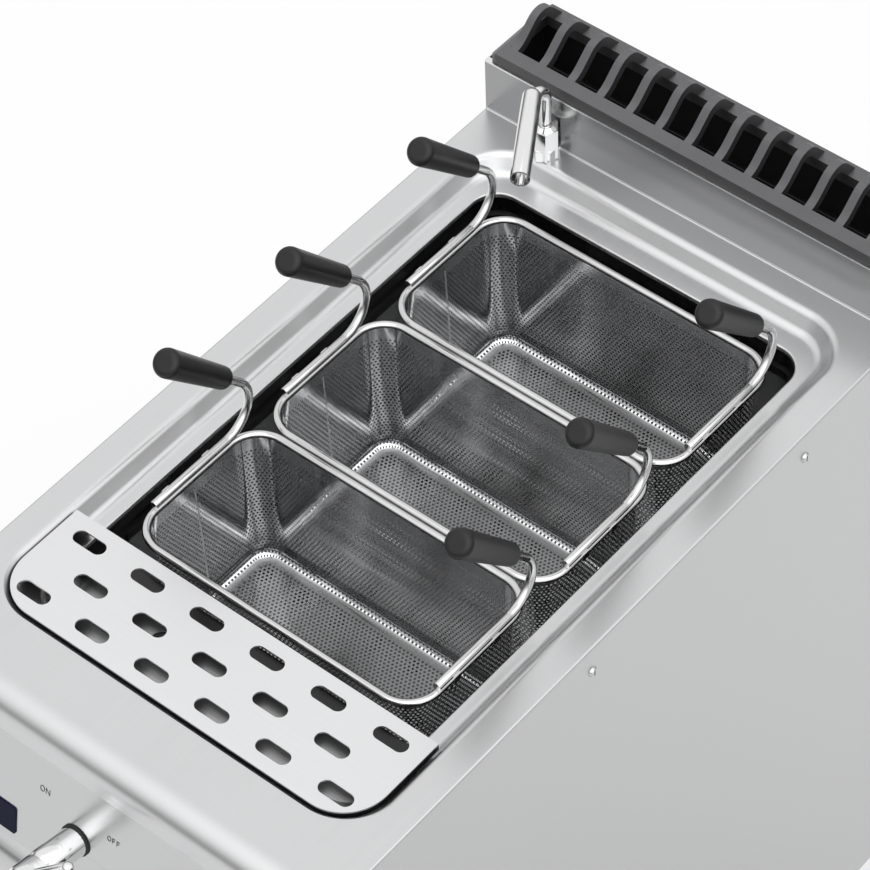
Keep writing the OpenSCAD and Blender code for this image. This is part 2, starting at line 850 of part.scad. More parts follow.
module grille_rib() {
    low_line = rib_line(rib_band);
    polygon(concat(rib_line(0), [for (i = [len(low_line) - 1 : -1 : 0]) low_line[i]]));
}

module flue_grille() {
    w = top_w - 2 * grille_gap;
    d = flue_d - sheet;
    z0 = top_h + splash_h + seat_gap;
    rib_span = w - 2 * grille_end - rib_t;
    color([0.3, 0.3, 0.31]) translate([0, y_crease + sheet, z0]) {
        difference() {
            linear_extrude(grille_h) difference() {
                translate([0, d / 2]) round_rect(w, d, grille_r);
                translate([-w / 2 + grille_end, grille_rail])
                    square([w - 2 * grille_end, d - 2 * grille_rail]);
            }
            for (x = [0, 1]) mirror([x, 0, 0]) translate([w / 2, d + 1, grille_h])
                rotate([90, 0, 0]) linear_extrude(d + 2)
                    polygon([[-grille_slope, 1], [-grille_slope, 0], [1, -grille_slope - 1], [1, 1]]);
        }
        for (i = [0 : rib_count - 1])
            translate([-rib_span / 2 + rib_span * i / (rib_count - 1), 0, grille_h])
                along_x(rib_t) grille_rib();
    }
}

// Side of the cabinet: a flat sheet with its front edge folded in
module side_panel(s) {
    h = top_h - sheet - base_h;
    color("lightgray") {
        difference() {
            translate([s > 0 ? top_w / 2 - side_t : -top_w / 2, y_frame, base_h])
                cube([side_t, y_back - y_frame, h]);
            screw_holes();
        }
        translate([s > 0 ? top_w / 2 - side_fold : -top_w / 2, y_frame, base_h])
            cube([side_fold, side_t, z_panel_low - base_h]);
    }
}

// Pan-head screws that hold the side panels to the worktop's skirts
module side_screws() {
    shank = side_t + sheet + 3;
    color("gainsboro") for (s = [-1, 1], y = screw_y)
        translate([s * top_w / 2, y, screw_z]) rotate([0, s * 90, 0]) difference() {
            union() {
                cylinder(d1 = 9, d2 = 6.5, h = screw_head);
                translate([0, 0, -shank]) cylinder(d = screw_d, h = shank + screw_head / 2);
            }
            translate([0, 0, screw_head]) cube([6, 1.2, screw_head], center = true);
        }
}

module rear_panel() {
    color("lightgray") translate([-top_w / 2 + side_t, y_rear - side_t, base_h])
        difference() {
            cube([top_w - 2 * side_t, side_t, top_h - sheet - base_h - skirt_h]);
            for (x = [gas_in_x, side_run_x])
                translate([top_w / 2 - side_t + x, -1, inlet_z - base_h])
                    rotate([-90, 0, 0]) cylinder(d = inlet_d + 2 * hole_gap, h = side_t + 2);
        }
}

module base_shelf() {
    w = top_w - 2 * side_t;
    d = y_rear - side_t - y_frame - side_t;
    rim = 20;
    color("lightgray") translate([-w / 2, y_frame + side_t, base_h]) difference() {
        cube([w, d, rim]);
        translate([sheet, sheet, sheet]) cube([w - 2 * sheet, d - 2 * sheet, rim]);
        translate([w / 2, drain_y - y_frame - side_t, -1])
            cylinder(d = drain_d + 2 * hole_gap, h = sheet + 2);
    }
}

// Folded front plate with end cheeks, tilted to face the cook
module control_panel() {
    toe = y_nose - panel_out + sheet / 2;
    hole_h = 40;
    color("lightgray") difference() {
        union() {
            on_panel(0, panel_h) translate([-top_w / 2, 0, -sheet]) cube([top_w, panel_h, sheet]);
            translate([-top_w / 2, toe, z_panel_low]) cube([top_w, y_frame - toe, sheet]);
            for (x = [-1, 1])
                translate([x * (top_w - sheet) / 2, 0, 0]) along_x(sheet) polygon([
                    [y_nose + sheet / 2, z_panel - sheet / 2], [toe, z_panel_low],
                    [y_frame, z_panel_low], [y_frame, z_panel - sheet / 2]
                ]);
        }
        on_panel(-tap_left, tap_down)
            cylinder(d = tap_neck_d + 2 * hole_gap, h = hole_h, center = true);
        on_panel(knob_right, tap_down) cylinder(d = collar_d + 2 * run_gap, h = hole_h, center = true);
        on_panel(igniter_right, tap_down)
            cylinder(d = igniter_d + 2 * run_gap, h = hole_h, center = true);
    }
}

// Blank plate in place of lettering
module name_plate() {
    plate = 1;
    corner = 2;
    color([0.06, 0.07, 0.15]) on_panel(-top_w / 2 + badge_end + badge_w / 2, badge_down)
        translate([0, 0, film]) linear_extrude(plate) round_rect(badge_w, badge_h, corner);
}

module tap_gasket() {
    color([0.05, 0.05, 0.05]) on_panel(-tap_left, tap_down) difference() {
        translate([0, 0, film]) cylinder(d = tap_d + 2, h = gasket_t - film);
        translate([0, 0, -1]) cylinder(d = tap_neck_d, h = gasket_t + 2);
    }
}

// Chrome barrel of the tap on its gasket, with a neck through the panel
module tap_barrel() {
    bevel = 4;
    color("white") on_panel(-tap_left, tap_down) difference() {
        union() {
            translate([0, 0, gasket_t]) cylinder(d = tap_d, h = barrel_h - bevel - gasket_t);
            translate([0, 0, barrel_h - bevel]) cylinder(d1 = tap_d, d2 = tap_d - 5, h = bevel);
            translate([0, 0, -neck_in])
                cylinder(d = tap_neck_d - 2 * run_gap, h = neck_in + 2 * gasket_t);
        }
        translate([0, 0, barrel_h - 14]) cylinder(d = stem_d + 2 * run_gap, h = 20);
    }
}

// Upright stub from a valve behind the panel down to its pipe
module supply_stub(x, d) {
    translate([x, supply_y, z_supply]) cylinder(d = d, h = 22);
}

// Brass body of the tap behind the panel with its back nut
module tap_valve() {
    color("darkgoldenrod") {
        on_panel(-tap_left, tap_down) difference() {
            union() {
                translate([-tap_body[0] / 2, -valve_low, -valve_depth])
                    cube([tap_body[0], tap_body[1], valve_depth - neck_in]);
                translate([0, 0, -neck_in - 1])
                    cylinder(d = 30, h = neck_in + 1 - sheet - film, $fn = 6);
            }
            translate([0, 0, -neck_in]) cylinder(d = tap_neck_d, h = neck_in + 1);
        }
        supply_stub(water_feed_x, feed_d);
        supply_stub(water_in_x, inlet_d);
    }
}

// Quarter-turn lever, shown pointing up to the right
module tap_lever() {
    arm_d = 9;
    color("white") on_panel(-tap_left, tap_down) translate([0, 0, tap_out - hub_h]) {
        translate([0, 0, -12]) cylinder(d = stem_d, h = 13);
        cylinder(d = tap_d, h = hub_h - hub_bevel);
        translate([0, 0, hub_h - hub_bevel])
            cylinder(d1 = tap_d, d2 = tap_d - 2 * hub_bevel, h = hub_bevel);
        rotate(45) translate([0, 0, hub_h / 2]) rotate([0, 90, 0]) {
            cylinder(d = arm_d, h = lever_len - arm_d / 2);
            translate([0, 0, lever_len - arm_d / 2]) sphere(d = arm_d);
        }
    }
}

// Gas tap behind the panel with its collar and stem through the panel
module gas_valve() {
    color("darkgray") {
        on_panel(knob_right, tap_down) {
            translate([-gas_body[0] / 2, -valve_low, -valve_depth])
                cube([gas_body[0], gas_body[1], valve_depth - 12]);
            translate([0, 0, -collar_len]) cylinder(d = collar_d, h = collar_len + knob_off);
            cylinder(d = stem_d, h = stem_len);
        }
        supply_stub(gas_feed_x, feed_d);
        supply_stub(gas_in_x, inlet_d);
    }
}

module gas_knob() {
    skirt = 8;
    ridge_w = 10;
    color([0.1, 0.1, 0.11]) on_panel(knob_right, tap_down)
        translate([0, 0, knob_off + seat_gap]) difference() {
        union() {
            cylinder(d = knob_d, h = skirt);
            translate([0, 0, skirt]) cylinder(d1 = knob_d - 8, d2 = knob_d - 16, h = knob_h - skirt);
            translate([-ridge_w / 2, -knob_d / 2 + 2, skirt - 1])
                cube([ridge_w, knob_d - 4, knob_h - skirt + 3]);
        }
        translate([0, 0, -1]) cylinder(d = stem_d + 2 * run_gap, h = 22);
    }
}

module igniter_body() {
    color("gainsboro") on_panel(igniter_right, tap_down) difference() {
        union() {
            translate([0, 0, -2 * igniter_bore]) cylinder(d = igniter_d, h = 2 * igniter_bore + 1);
            cylinder(d = igniter_d + 6, h = igniter_flange);
        }
        translate([0, 0, -igniter_bore])
            cylinder(d = button_d + 2 * run_gap, h = igniter_bore + igniter_flange + 1);
    }
}

module igniter_button() {
    length = igniter_bore + igniter_flange - 1;
    bevel = 3;
    color("black") on_panel(igniter_right, tap_down)
        translate([0, 0, -igniter_bore + igniter_travel + 1]) {
            cylinder(d = button_d, h = length);
            translate([0, 0, length]) cylinder(d1 = button_d, d2 = button_d - 2, h = bevel);
        }
}

// Folded pan with hinge blocks in its left corners
module door() {
    w = top_w - 2;
    h = z_door1 - z_door0;
    skin = 1.5;
    block = 26;
    block_h = 20;
    color("lightgray") translate([-w / 2, y_door, z_door0]) difference() {
        union() {
            difference() {
                cube([w, door_t, h]);
                translate([skin, skin, skin]) cube([w - 2 * skin, door_t, h - 2 * skin]);
            }
            for (z = [0, h - block_h]) translate([0, 0, z]) cube([block, door_t, block_h]);
        }
        for (z = [-1, h - block_h + 1])
            translate([hinge_x + w / 2, hinge_y - y_door, z])
                cylinder(d = pin_d + 2 * run_gap, h = block_h);
    }
}

// Rolled lip along the top of the door
module door_handle() {
    thick = 3;
    color("whitesmoke") translate([0, y_door, z_door1 - handle_r]) along_x(top_w - 2) {
        intersection() {
            difference() {
                circle(handle_r);
                circle(handle_r - thick);
            }
            translate([-handle_r, 0]) square(handle_r);
        }
        translate([-handle_r, -14]) square([thick, 14]);
    }
}

// Angle on the left side's fold, above or below the door, with its hinge pin
module hinge(top) {
    w = side_fold - 4;
    tab_h = 16;
    tab_t = 2;
    z = top ? z_door1 + seat_gap : z_door0 - seat_gap - hinge_plate;
    color("darkgray") {
        translate([-top_w / 2 + 3, y_door + 3, z]) cube([w, y_frame - y_door - 3, hinge_plate]);
        translate([-top_w / 2 + 3, y_frame - tab_t, top ? z - tab_h : z])
            cube([w, tab_t, tab_h + hinge_plate]);
        translate([hinge_x, hinge_y, top ? z - pin_h : z]) cylinder(d = pin_d, h = pin_h + hinge_plate);
    }
}

// Magnet block on the right side's fold
module door_catch() {
    color("black") translate([top_w / 2 - side_fold + 1, y_door + door_t + seat_gap, z_panel_low - 60])
        cube([side_fold - 4, swing_gap - seat_gap, 40]);
}

// Sheet box round the burner, hung under the tank, roofed from the tank to the flue
module burner_box() {
    d = duct_y0 - box_y0;
    inner = box_w - 2 * box_t;
    color("gray") translate([-box_w / 2, box_y0, z_floor - tank_t - box_h]) difference() {
        cube([box_w, d, box_h]);
        translate([box_t, box_t, -1]) cube([inner, d, box_h + 1 - box_t]);
        translate([box_t, box_t, 0]) cube([inner, well_y1 - tank_fillet - box_y0 - box_t, box_h + 1]);
        for (x = [-1, 1])
            translate([box_w / 2 + x * burner_x, -1, burner_z - z_floor + tank_t + box_h])
                rotate([-90, 0, 0]) cylinder(d = burner_neck_d + 2 * hole_gap, h = box_t + 2);
    }
}

// Two tube burners with their mixing necks, on two cross bars
module burner() {
    bar_w = box_w - 2 * box_t;
    color("gray") {
        for (x = [-1, 1]) translate([x * burner_x, burner_y, burner_z]) rotate([-90, 0, 0]) {
            cylinder(d = burner_neck_d, h = burner_neck + 1);
            translate([0, 0, burner_neck]) cylinder(d = burner_d, h = burner_len);
        }
        for (y = [pilot_y, burner_len])
            translate([-bar_w / 2, burner_y + y - 20, z_bar - bar_t]) cube([bar_w, 20, bar_t]);
    }
}

// Gas pipe from the gas tap to the burner injectors
module gas_feed() {
    color("goldenrod") {
        pipe_run([
            [gas_feed_x, supply_y, z_supply], [gas_feed_x, supply_y, burner_z],
            [gas_feed_x, manifold_y, burner_z], [-burner_x - manifold_over, manifold_y, burner_z]
        ], feed_d);
        for (x = [-1, 1]) translate([x * burner_x, manifold_y, burner_z])
            rotate([-90, 0, 0]) cylinder(d = injector_d, h = burner_y - manifold_y - seat_gap);
    }
}

// Supply pipe from a nipple at the back of the cabinet to the gas tap
module gas_inlet() {
    color("goldenrod") {
        pipe_run([
            [gas_in_x, supply_y, z_supply], [gas_in_x, supply_y, inlet_z],
            [gas_in_x, inlet_end - nipple_len, inlet_z]
        ], inlet_d);
        nipple(gas_in_x);
    }
}

// Hexagon and end nipple of a supply pipe behind the rear panel
module nipple(x) {
    translate([x, inlet_end, inlet_z]) rotate([90, 0, 0]) {
        cylinder(d = nipple_d, h = nipple_len + 1);
        translate([0, 0, nipple_len]) cylinder(d = inlet_d + 8, h = 8, $fn = 6);
    }
}

// Pilot flame, thermocouple and their bracket on the burner's front bar
module pilot() {
    color("silver") translate([0, burner_y + pilot_y - 19, z_bar]) {
        translate([-14, 0, 0]) cube([28, 18, 3]);
        translate([-8, 9, 2]) cylinder(d = 8, h = 46);
        translate([8, 9, 2]) cylinder(d = 6, h = 52);
    }
}

// Water pipe from the tap along the left side and up to the spout
module water_feed() {
    low = z_floor - 40;
    high = top_h - 60;
    color("peru") pipe_run([
        [water_feed_x, supply_y, z_supply], [water_feed_x, supply_y, low],
        [side_run_x, supply_y, low], [side_run_x, spout_y, low], [side_run_x, spout_y, high],
        [spout_x, spout_y, high], [spout_x, spout_y, top_h - sheet - spout_under - seat_gap]
    ], feed_d);
}

// Supply pipe from a nipple at the back of the cabinet to the water tap
module water_inlet() {
    color("peru") {
        pipe_run([
            [water_in_x, supply_y, z_supply], [water_in_x, supply_y, inlet_z],
            [side_run_x, supply_y, inlet_z], [side_run_x, inlet_end - nipple_len, inlet_z]
        ], inlet_d);
        nipple(side_run_x);
    }
}

// Ball valve under the tank's drain stub
module drain_valve() {
    body = z_floor - stub_len - z_outlet;
    color("gold") translate([0, drain_y, 0]) difference() {
        union() {
            translate([0, 0, z_outlet]) cylinder(d = drain_d + 10, h = body);
            translate([0, 0, valve_z]) rotate([90, 0, 0]) cylinder(d = 22, h = bonnet);
        }
        translate([0, 0, z_outlet - 1]) cylinder(d = drain_bore, h = body + 2);
        translate([0, -bonnet - 1, valve_z]) rotate([-90, 0, 0])
            cylinder(d = stem_d + 2 * run_gap, h = spindle + 2);
    }
}

// Quarter-turn lever of the drain, shut: it lies across and turns down to open
module drain_lever() {
    arm_t = drain_arm[1];
    arm_w = drain_arm[0];
    hub = drain_hub;
    grip_x = drain_grip[0];
    grip_t = drain_grip[1];
    color("firebrick") translate([0, drain_y - bonnet - seat_gap, valve_z]) {
        rotate([-90, 0, 0]) translate([0, 0, -1]) cylinder(d = stem_d, h = spindle + 1);
        translate([-hub / 2, -arm_t, -hub / 2]) cube([hub, arm_t, hub]);
        translate([0, -arm_t, -arm_w / 2]) cube([grip_x + grip_root, arm_t, arm_w]);
        translate([grip_x, -(arm_t + grip_t) / 2, -hub / 2]) cube([drain_reach - grip_x, grip_t, hub]);
    }
}

// Waste pipe down through the base, with a hose tail at its open end
module drain_pipe() {
    color("gainsboro") translate([0, drain_y, z_waste]) difference() {
        union() {
            cylinder(d = drain_d, h = z_outlet - z_waste);
            cylinder(d = drain_d + 2, h = tail_len);
        }
        translate([0, 0, -1]) cylinder(d = drain_bore, h = z_outlet - z_waste + 2);
    }
}

// Leg with its flange under the base, bored for the foot's stem
module leg(x, y) {
    h = base_h - foot_h - seat_gap;
    flange_t = 4;
    color("silver") translate([x, y, base_h - h]) difference() {
        union() {
            cylinder(d = leg_d, h = h);
            translate([0, 0, h - flange_t]) cylinder(d = leg_d + 20, h = flange_t);
        }
        translate([0, 0, -1]) cylinder(d = leg_bore, h = h + 1 - flange_t);
    }
}

// Pad with a bevelled edge and a stem that slides in the leg
module foot(x, y) {
    bevel = 6;
    color([0.2, 0.2, 0.2]) translate([x, y, 0]) {
        cylinder(d1 = foot_d - bevel, d2 = foot_d, h = bevel);
        translate([0, 0, bevel]) cylinder(d = foot_d, h = foot_h - bevel);
        translate([0, 0, foot_h - 1]) cylinder(d = leg_bore - 2 * run_gap, h = 2 * foot_travel);
    }
}

worktop();
tank();
overflow_pipe();
raised_bottom();
drain_plate();
basket_shell(0);  // basket_shell_front
basket_shell(1);  // basket_shell_middle
basket_shell(2);  // basket_shell_rear
basket_rim(0);  // basket_rim_front
basket_rim(1);  // basket_rim_middle
basket_rim(2);  // basket_rim_rear
basket_rods(0);  // basket_rods_front
basket_rods(1);  // basket_rods_middle
basket_rods(2);  // basket_rods_rear
basket_grips(0);  // basket_grips_front
basket_grips(1);  // basket_grips_middle
basket_grips(2);  // basket_grips_rear
spout_nut();
spout_tube();
flue_housing();
flue_duct();
flue_grille();
side_panel(-1);  // side_panel_left
side_panel(1);  // side_panel_right
side_screws();
rear_panel();
base_shelf();
control_panel();
name_plate();
tap_gasket();
tap_barrel();
tap_valve();
tap_lever();
gas_valve();
gas_knob();
igniter_body();
igniter_button();
door();
door_handle();
hinge(true);  // hinge_upper
hinge(false);  // hinge_lower
door_catch();
burner_box();
burner();
gas_feed();
gas_inlet();
pilot();
water_feed();
water_inlet();
drain_valve();
drain_lever();
drain_pipe();
leg(-leg_x, leg_y0);  // leg_front_left
leg(leg_x, leg_y0);  // leg_front_right
leg(-leg_x, leg_y1);  // leg_rear_left
leg(leg_x, leg_y1);  // leg_rear_right
foot(-leg_x, leg_y0);  // foot_front_left
foot(leg_x, leg_y0);  // foot_front_right
foot(-leg_x, leg_y1);  // foot_rear_left
foot(leg_x, leg_y1);  // foot_rear_right
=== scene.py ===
import math

import bmesh
import bpy
from mathutils import Matrix, Vector


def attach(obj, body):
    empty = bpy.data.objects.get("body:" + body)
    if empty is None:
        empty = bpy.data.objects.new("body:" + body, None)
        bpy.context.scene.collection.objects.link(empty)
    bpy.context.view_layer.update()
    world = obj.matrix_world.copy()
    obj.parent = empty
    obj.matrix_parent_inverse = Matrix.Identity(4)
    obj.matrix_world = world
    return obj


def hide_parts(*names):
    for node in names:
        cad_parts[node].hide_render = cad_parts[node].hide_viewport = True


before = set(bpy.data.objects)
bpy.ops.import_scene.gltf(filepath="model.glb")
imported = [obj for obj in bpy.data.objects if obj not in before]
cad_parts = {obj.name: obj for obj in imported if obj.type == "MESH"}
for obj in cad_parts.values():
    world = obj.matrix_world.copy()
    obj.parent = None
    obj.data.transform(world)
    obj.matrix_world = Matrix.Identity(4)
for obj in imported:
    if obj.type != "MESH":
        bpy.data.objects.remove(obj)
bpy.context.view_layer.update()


# Legs and feet. Four stainless tubes with a flange under the base, and in each a
# turned foot whose stem screws in and out to level the cooker. Satin ground all over.
def place(tree, kind, settings=None, at=None, **inputs):
    """Adds a shader node. Inputs go by name, or by number in at; an output links, a value is set."""
    made = tree.nodes.new(kind)
    for key, value in (settings or {}).items():
        setattr(made, key, value)
    wanted = {key.replace("_", " "): value for key, value in inputs.items()}
    wanted.update(at or {})
    for key, value in wanted.items():
        if isinstance(value, bpy.types.NodeSocket):
            tree.links.new(value, made.inputs[key])
        else:
            made.inputs[key].default_value = value
    return made


def math_node(tree, operation, a, b):
    return place(tree, "ShaderNodeMath", {"operation": operation}, {0: a, 1: b}).outputs[0]


def new_group(name, inputs, outputs):
    """An empty shader group with float or vector inputs and float outputs."""
    tree = bpy.data.node_groups.new(name, "ShaderNodeTree")
    for label, value in inputs:
        kind = "NodeSocketVector" if isinstance(value, tuple) else "NodeSocketFloat"
        socket = tree.interface.new_socket(label, in_out="INPUT", socket_type=kind)
        socket.default_value = value
    for label in outputs:
        tree.interface.new_socket(label, in_out="OUTPUT", socket_type="NodeSocketFloat")
    return tree, tree.nodes.new("NodeGroupInput").outputs, tree.nodes.new("NodeGroupOutput").inputs


def blend_roughness(tree, given, share):
    """Roughness between the group's Smooth and Rough inputs."""
    span = math_node(tree, "SUBTRACT", given["Rough"], given["Smooth"])
    return math_node(tree, "ADD", math_node(tree, "MULTIPLY", share, span), given["Smooth"])


SCRATCH_SHARE = 0.7
CLOUD_SHARE, CLOUD_SCALE = 0.3, 7.0


def build_steel_grain():
    """Brushed sheet: long fine scratches, soft clouding and the roughness that goes with them."""
    tree, given, put = new_group(
        "steel_grain",
        [("Stretch", (1.0, 1.0, 1.0)), ("Smooth", 0.25), ("Rough", 0.4)],
        ["Shade", "Roughness", "Height"],
    )
    coords = place(tree, "ShaderNodeTexCoord").outputs["Object"]
    drawn = place(tree, "ShaderNodeVectorMath", {"operation": "MULTIPLY"}, {0: coords, 1: given["Stretch"]})
    scratch = place(tree, "ShaderNodeTexNoise", Vector=drawn.outputs[0], Scale=1.0, Detail=3.0).outputs[0]
    cloud = place(tree, "ShaderNodeTexNoise", Vector=coords, Scale=CLOUD_SCALE, Detail=2.0).outputs[0]
    shade = math_node(
        tree, "ADD", math_node(tree, "MULTIPLY", scratch, SCRATCH_SHARE),
        math_node(tree, "MULTIPLY", cloud, CLOUD_SHARE),
    )
    tree.links.new(shade, put["Shade"])
    tree.links.new(scratch, put["Height"])
    tree.links.new(blend_roughness(tree, given, shade), put["Roughness"])
    return tree


steel_grain = build_steel_grain()
ALONG_X = (6.0, 900.0, 900.0)
ALONG_Y = (900.0, 6.0, 900.0)
ALONG_Z = (900.0, 900.0, 6.0)


def dress(material, group, values, dark, pale, metallic, bump):
    """Joins a surface group to the material's shader: shade to colour, roughness, and height to bump."""
    tree = material.node_tree
    shader = tree.nodes["Principled BSDF"]
    made = place(tree, "ShaderNodeGroup", {"node_tree": group}, values)
    tint = place(
        tree, "ShaderNodeMix", {"data_type": "RGBA"},
        {0: made.outputs["Shade"], 6: (*dark, 1), 7: (*pale, 1)},
    )
    tree.links.new(tint.outputs[2], shader.inputs["Base Color"])
    tree.links.new(made.outputs["Roughness"], shader.inputs["Roughness"])
    strength, distance = bump
    relief = place(
        tree, "ShaderNodeBump", Height=made.outputs["Height"], Strength=strength, Distance=distance
    )
    tree.links.new(relief.outputs[0], shader.inputs["Normal"])
    shader.inputs["Metallic"].default_value = metallic
    return material


def new_material(name):
    material = bpy.data.materials.new(name)
    material.use_nodes = True
    return material


STEEL_TINT = (0.995, 1.0, 1.01)
GROOVE_DEPTH = 0.0004


def brushed(name, grey, stretch, smooth, rough, contrast=0.10, groove=0.06):
    """Stainless sheet brushed one way; grey is its linear brightness."""
    dark = [grey * (1 - contrast) * t for t in STEEL_TINT]
    pale = [grey * (1 + contrast) * t for t in STEEL_TINT]
    values = {"Stretch": stretch, "Smooth": smooth, "Rough": rough}
    return dress(new_material(name), steel_grain, values, dark, pale, 1.0, (groove, GROOVE_DEPTH))


WELD_GAP = 0.00002
HARD_EDGE = math.radians(35)


def soften(piece, width, segments=2, weld=True):
    """Rounds a piece's hard edges and evens its shading."""
    if weld:
        piece.modifiers.new("weld", "WELD").merge_threshold = WELD_GAP
    if width:
        bevel = piece.modifiers.new("round", "BEVEL")
        bevel.width = width
        bevel.segments = segments
        bevel.limit_method = "ANGLE"
        bevel.angle_limit = HARD_EDGE
        bevel.harden_normals = True
    else:
        piece.modifiers.new("shade", "WEIGHTED_NORMAL").keep_sharp = True


dressed = set()


def finish_node(node, material, edge=0.0, segments=2):
    """Gives a CAD node its material and its rounded edges."""
    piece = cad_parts[node]
    if piece.material_slots:
        for spot in piece.material_slots:
            spot.material = material
    else:
        piece.data.materials.append(material)
    if edge:
        soften(piece, edge, segments)
    dressed.add(node)


leg_steel = brushed("leg_steel", 0.5, ALONG_Z, smooth=0.28, rough=0.42)
foot_steel = brushed("foot_steel", 0.4, ALONG_X, smooth=0.25, rough=0.4)
for corner in ("front_left", "front_right", "rear_left", "rear_right"):
    finish_node("leg_" + corner, leg_steel, edge=0.0006)
    finish_node("foot_" + corner, foot_steel, edge=0.0010)


# Cabinet. A folded base tray, two flat sides with a folded front edge and a back sheet,
# all of satin stainless, held to the worktop's skirts with pan-head screws.
side_steel = brushed("side_steel", 0.57, ALONG_Y, smooth=0.26, rough=0.36, contrast=0.05)
tray_steel = brushed("tray_steel", 0.45, ALONG_X, smooth=0.30, rough=0.45)
screw_steel = brushed("screw_steel", 0.55, ALONG_Z, smooth=0.18, rough=0.3)
for node in ("side_panel_left", "side_panel_right"):
    finish_node(node, side_steel)
for node in ("rear_panel", "base_shelf"):
    finish_node(node, tray_steel, edge=0.0004)
finish_node("side_screws", screw_steel, edge=0.0003)


# Burner and flue duct. Two steel tube burners on bars in a sheet box under the tank, blued by
# heat, a pilot between them, and a sooted duct that carries the burnt gas up to the grille.
PIT_SHARE = 0.45
MOTTLE_SHARE, MOTTLE_SCALE = 0.55, 22.0


def build_cast_skin():
    """Rough skin of cast, enamelled or scorched metal: pits, a slow mottle and its roughness."""
    tree, given, put = new_group(
        "cast_skin", [("Size", 300.0), ("Smooth", 0.4), ("Rough", 0.6)], ["Shade", "Roughness", "Height"]
    )
    coords = place(tree, "ShaderNodeTexCoord").outputs["Object"]
    pits = place(tree, "ShaderNodeTexNoise", Vector=coords, Scale=given["Size"], Detail=4.0).outputs[0]
    mottle = place(tree, "ShaderNodeTexNoise", Vector=coords, Scale=MOTTLE_SCALE, Detail=3.0).outputs[0]
    shade = math_node(
        tree, "ADD", math_node(tree, "MULTIPLY", pits, PIT_SHARE),
        math_node(tree, "MULTIPLY", mottle, MOTTLE_SHARE),
    )
    tree.links.new(shade, put["Shade"])
    tree.links.new(pits, put["Height"])
    tree.links.new(blend_roughness(tree, given, shade), put["Roughness"])
    return tree


cast_skin = build_cast_skin()


def cast(name, dark, pale, metallic, size, smooth, rough, bump):
    """A cast, dipped, moulded or sooted surface; size sets how fine its pits are."""
    values = {"Size": size, "Smooth": smooth, "Rough": rough}
    return dress(new_material(name), cast_skin, values, dark, pale, metallic, bump)


blued_steel = cast(
    "blued_steel", (0.10, 0.10, 0.12), (0.26, 0.24, 0.25),
    metallic=0.9, size=120, smooth=0.35, rough=0.6, bump=(0.1, 0.0005),
)
soot_black = cast(
    "soot_black", (0.006, 0.006, 0.006), (0.016, 0.015, 0.015),
    metallic=0.0, size=180, smooth=0.75, rough=0.95, bump=(0.3, 0.0006),
)
for node in ("burner_box", "burner"):
    finish_node(node, blued_steel, edge=0.0005)
finish_node("flue_duct", soot_black, edge=0.0005)
finish_node("pilot", screw_steel, edge=0.0004)


# Pipes and valves. Copper pipes from the inlets to the taps and on to the burner and the
# spout, cast brass valve bodies, and a red dipped lever on the drain's ball valve.
copper = cast(
    "copper", (0.42, 0.20, 0.12), (0.66, 0.38, 0.24),
    metallic=1.0, size=60, smooth=0.2, rough=0.42, bump=(0.03, 0.0003),
)
brass = cast(
    "brass", (0.44, 0.32, 0.12), (0.66, 0.52, 0.24),
    metallic=1.0, size=240, smooth=0.25, rough=0.45, bump=(0.06, 0.0004),
)
red_dip = cast(
    "red_dip", (0.35, 0.02, 0.02), (0.50, 0.04, 0.03),
    metallic=0.0, size=200, smooth=0.3, rough=0.45, bump=(0.05, 0.0004),
)
for node in ("gas_feed", "gas_inlet", "water_feed", "water_inlet"):
    finish_node(node, copper, edge=0.0004)
for node in ("tap_valve", "gas_valve", "drain_valve"):
    finish_node(node, brass, edge=0.0006)
finish_node("drain_lever", red_dip, edge=0.0012, segments=3)
finish_node("drain_pipe", leg_steel, edge=0.0004)


# Tank. A deep-drawn stainless well under the worktop with a shallow shelf in front, an overflow
# pipe below the shelf, and a perforated plate on folded legs that carries the baskets.
WELL_TOP = 0.805
# Painted shade on the shelf runs from the first y to the second, where the colour keeps only the last share.
SHELF_SHADE_START, SHELF_SHADE_END, SHELF_SHADE_DEEPEST = -0.215, -0.185, 0.1


def ramp(tree, value, start, end, first, last, ease="SMOOTHSTEP"):
    """Goes from first to last while a value runs from start to end."""
    return place(tree, "ShaderNodeMapRange", {"interpolation_type": ease}, {
        0: value, 1: start, 2: end, 3: first, 4: last,
    }).outputs[0]


def surface_spot(tree):
    """The X, Y and Z of a spot on the surface, in metres."""
    coords = place(tree, "ShaderNodeTexCoord").outputs["Object"]
    return place(tree, "ShaderNodeSeparateXYZ", Vector=coords).outputs


def shade_colour(material, share):
    """Multiplies a material's colour by a share that changes over the surface."""
    tree = material.node_tree
    colour = tree.nodes["Principled BSDF"].inputs["Base Color"]
    shaded = place(
        tree, "ShaderNodeVectorMath", {"operation": "SCALE"}, Vector=colour.links[0].from_socket, Scale=share
    )
    tree.links.new(shaded.outputs[0], colour)


def paint_shade_on_shelf(material):
    """Paints shade on the shelf, darker towards the well; below the shelf the colour is left as it is."""
    tree = material.node_tree
    at = surface_spot(tree)
    painted_shade_share = ramp(tree, at["Y"], SHELF_SHADE_START, SHELF_SHADE_END, 1.0, SHELF_SHADE_DEEPEST)
    in_well = math_node(tree, "LESS_THAN", at["Z"], WELL_TOP)
    shade_colour(material, math_node(tree, "MAXIMUM", painted_shade_share, in_well))


tank_steel = brushed("tank_steel", 0.46, ALONG_X, smooth=0.16, rough=0.28, contrast=0.2)
# The tank's steel gets painted shade on its shelf, towards the well.
paint_shade_on_shelf(tank_steel)
# The raised bottom's steel is given a dark colour: painted shade, deep in the tank under the baskets.
plate_steel_painted_dark = brushed("plate_steel_painted_dark", 0.10, ALONG_Y, smooth=0.2, rough=0.35)
finish_node("tank", tank_steel, edge=0.0006)
finish_node("raised_bottom", plate_steel_painted_dark, edge=0.0003)
finish_node("overflow_pipe", leg_steel, edge=0.0004)


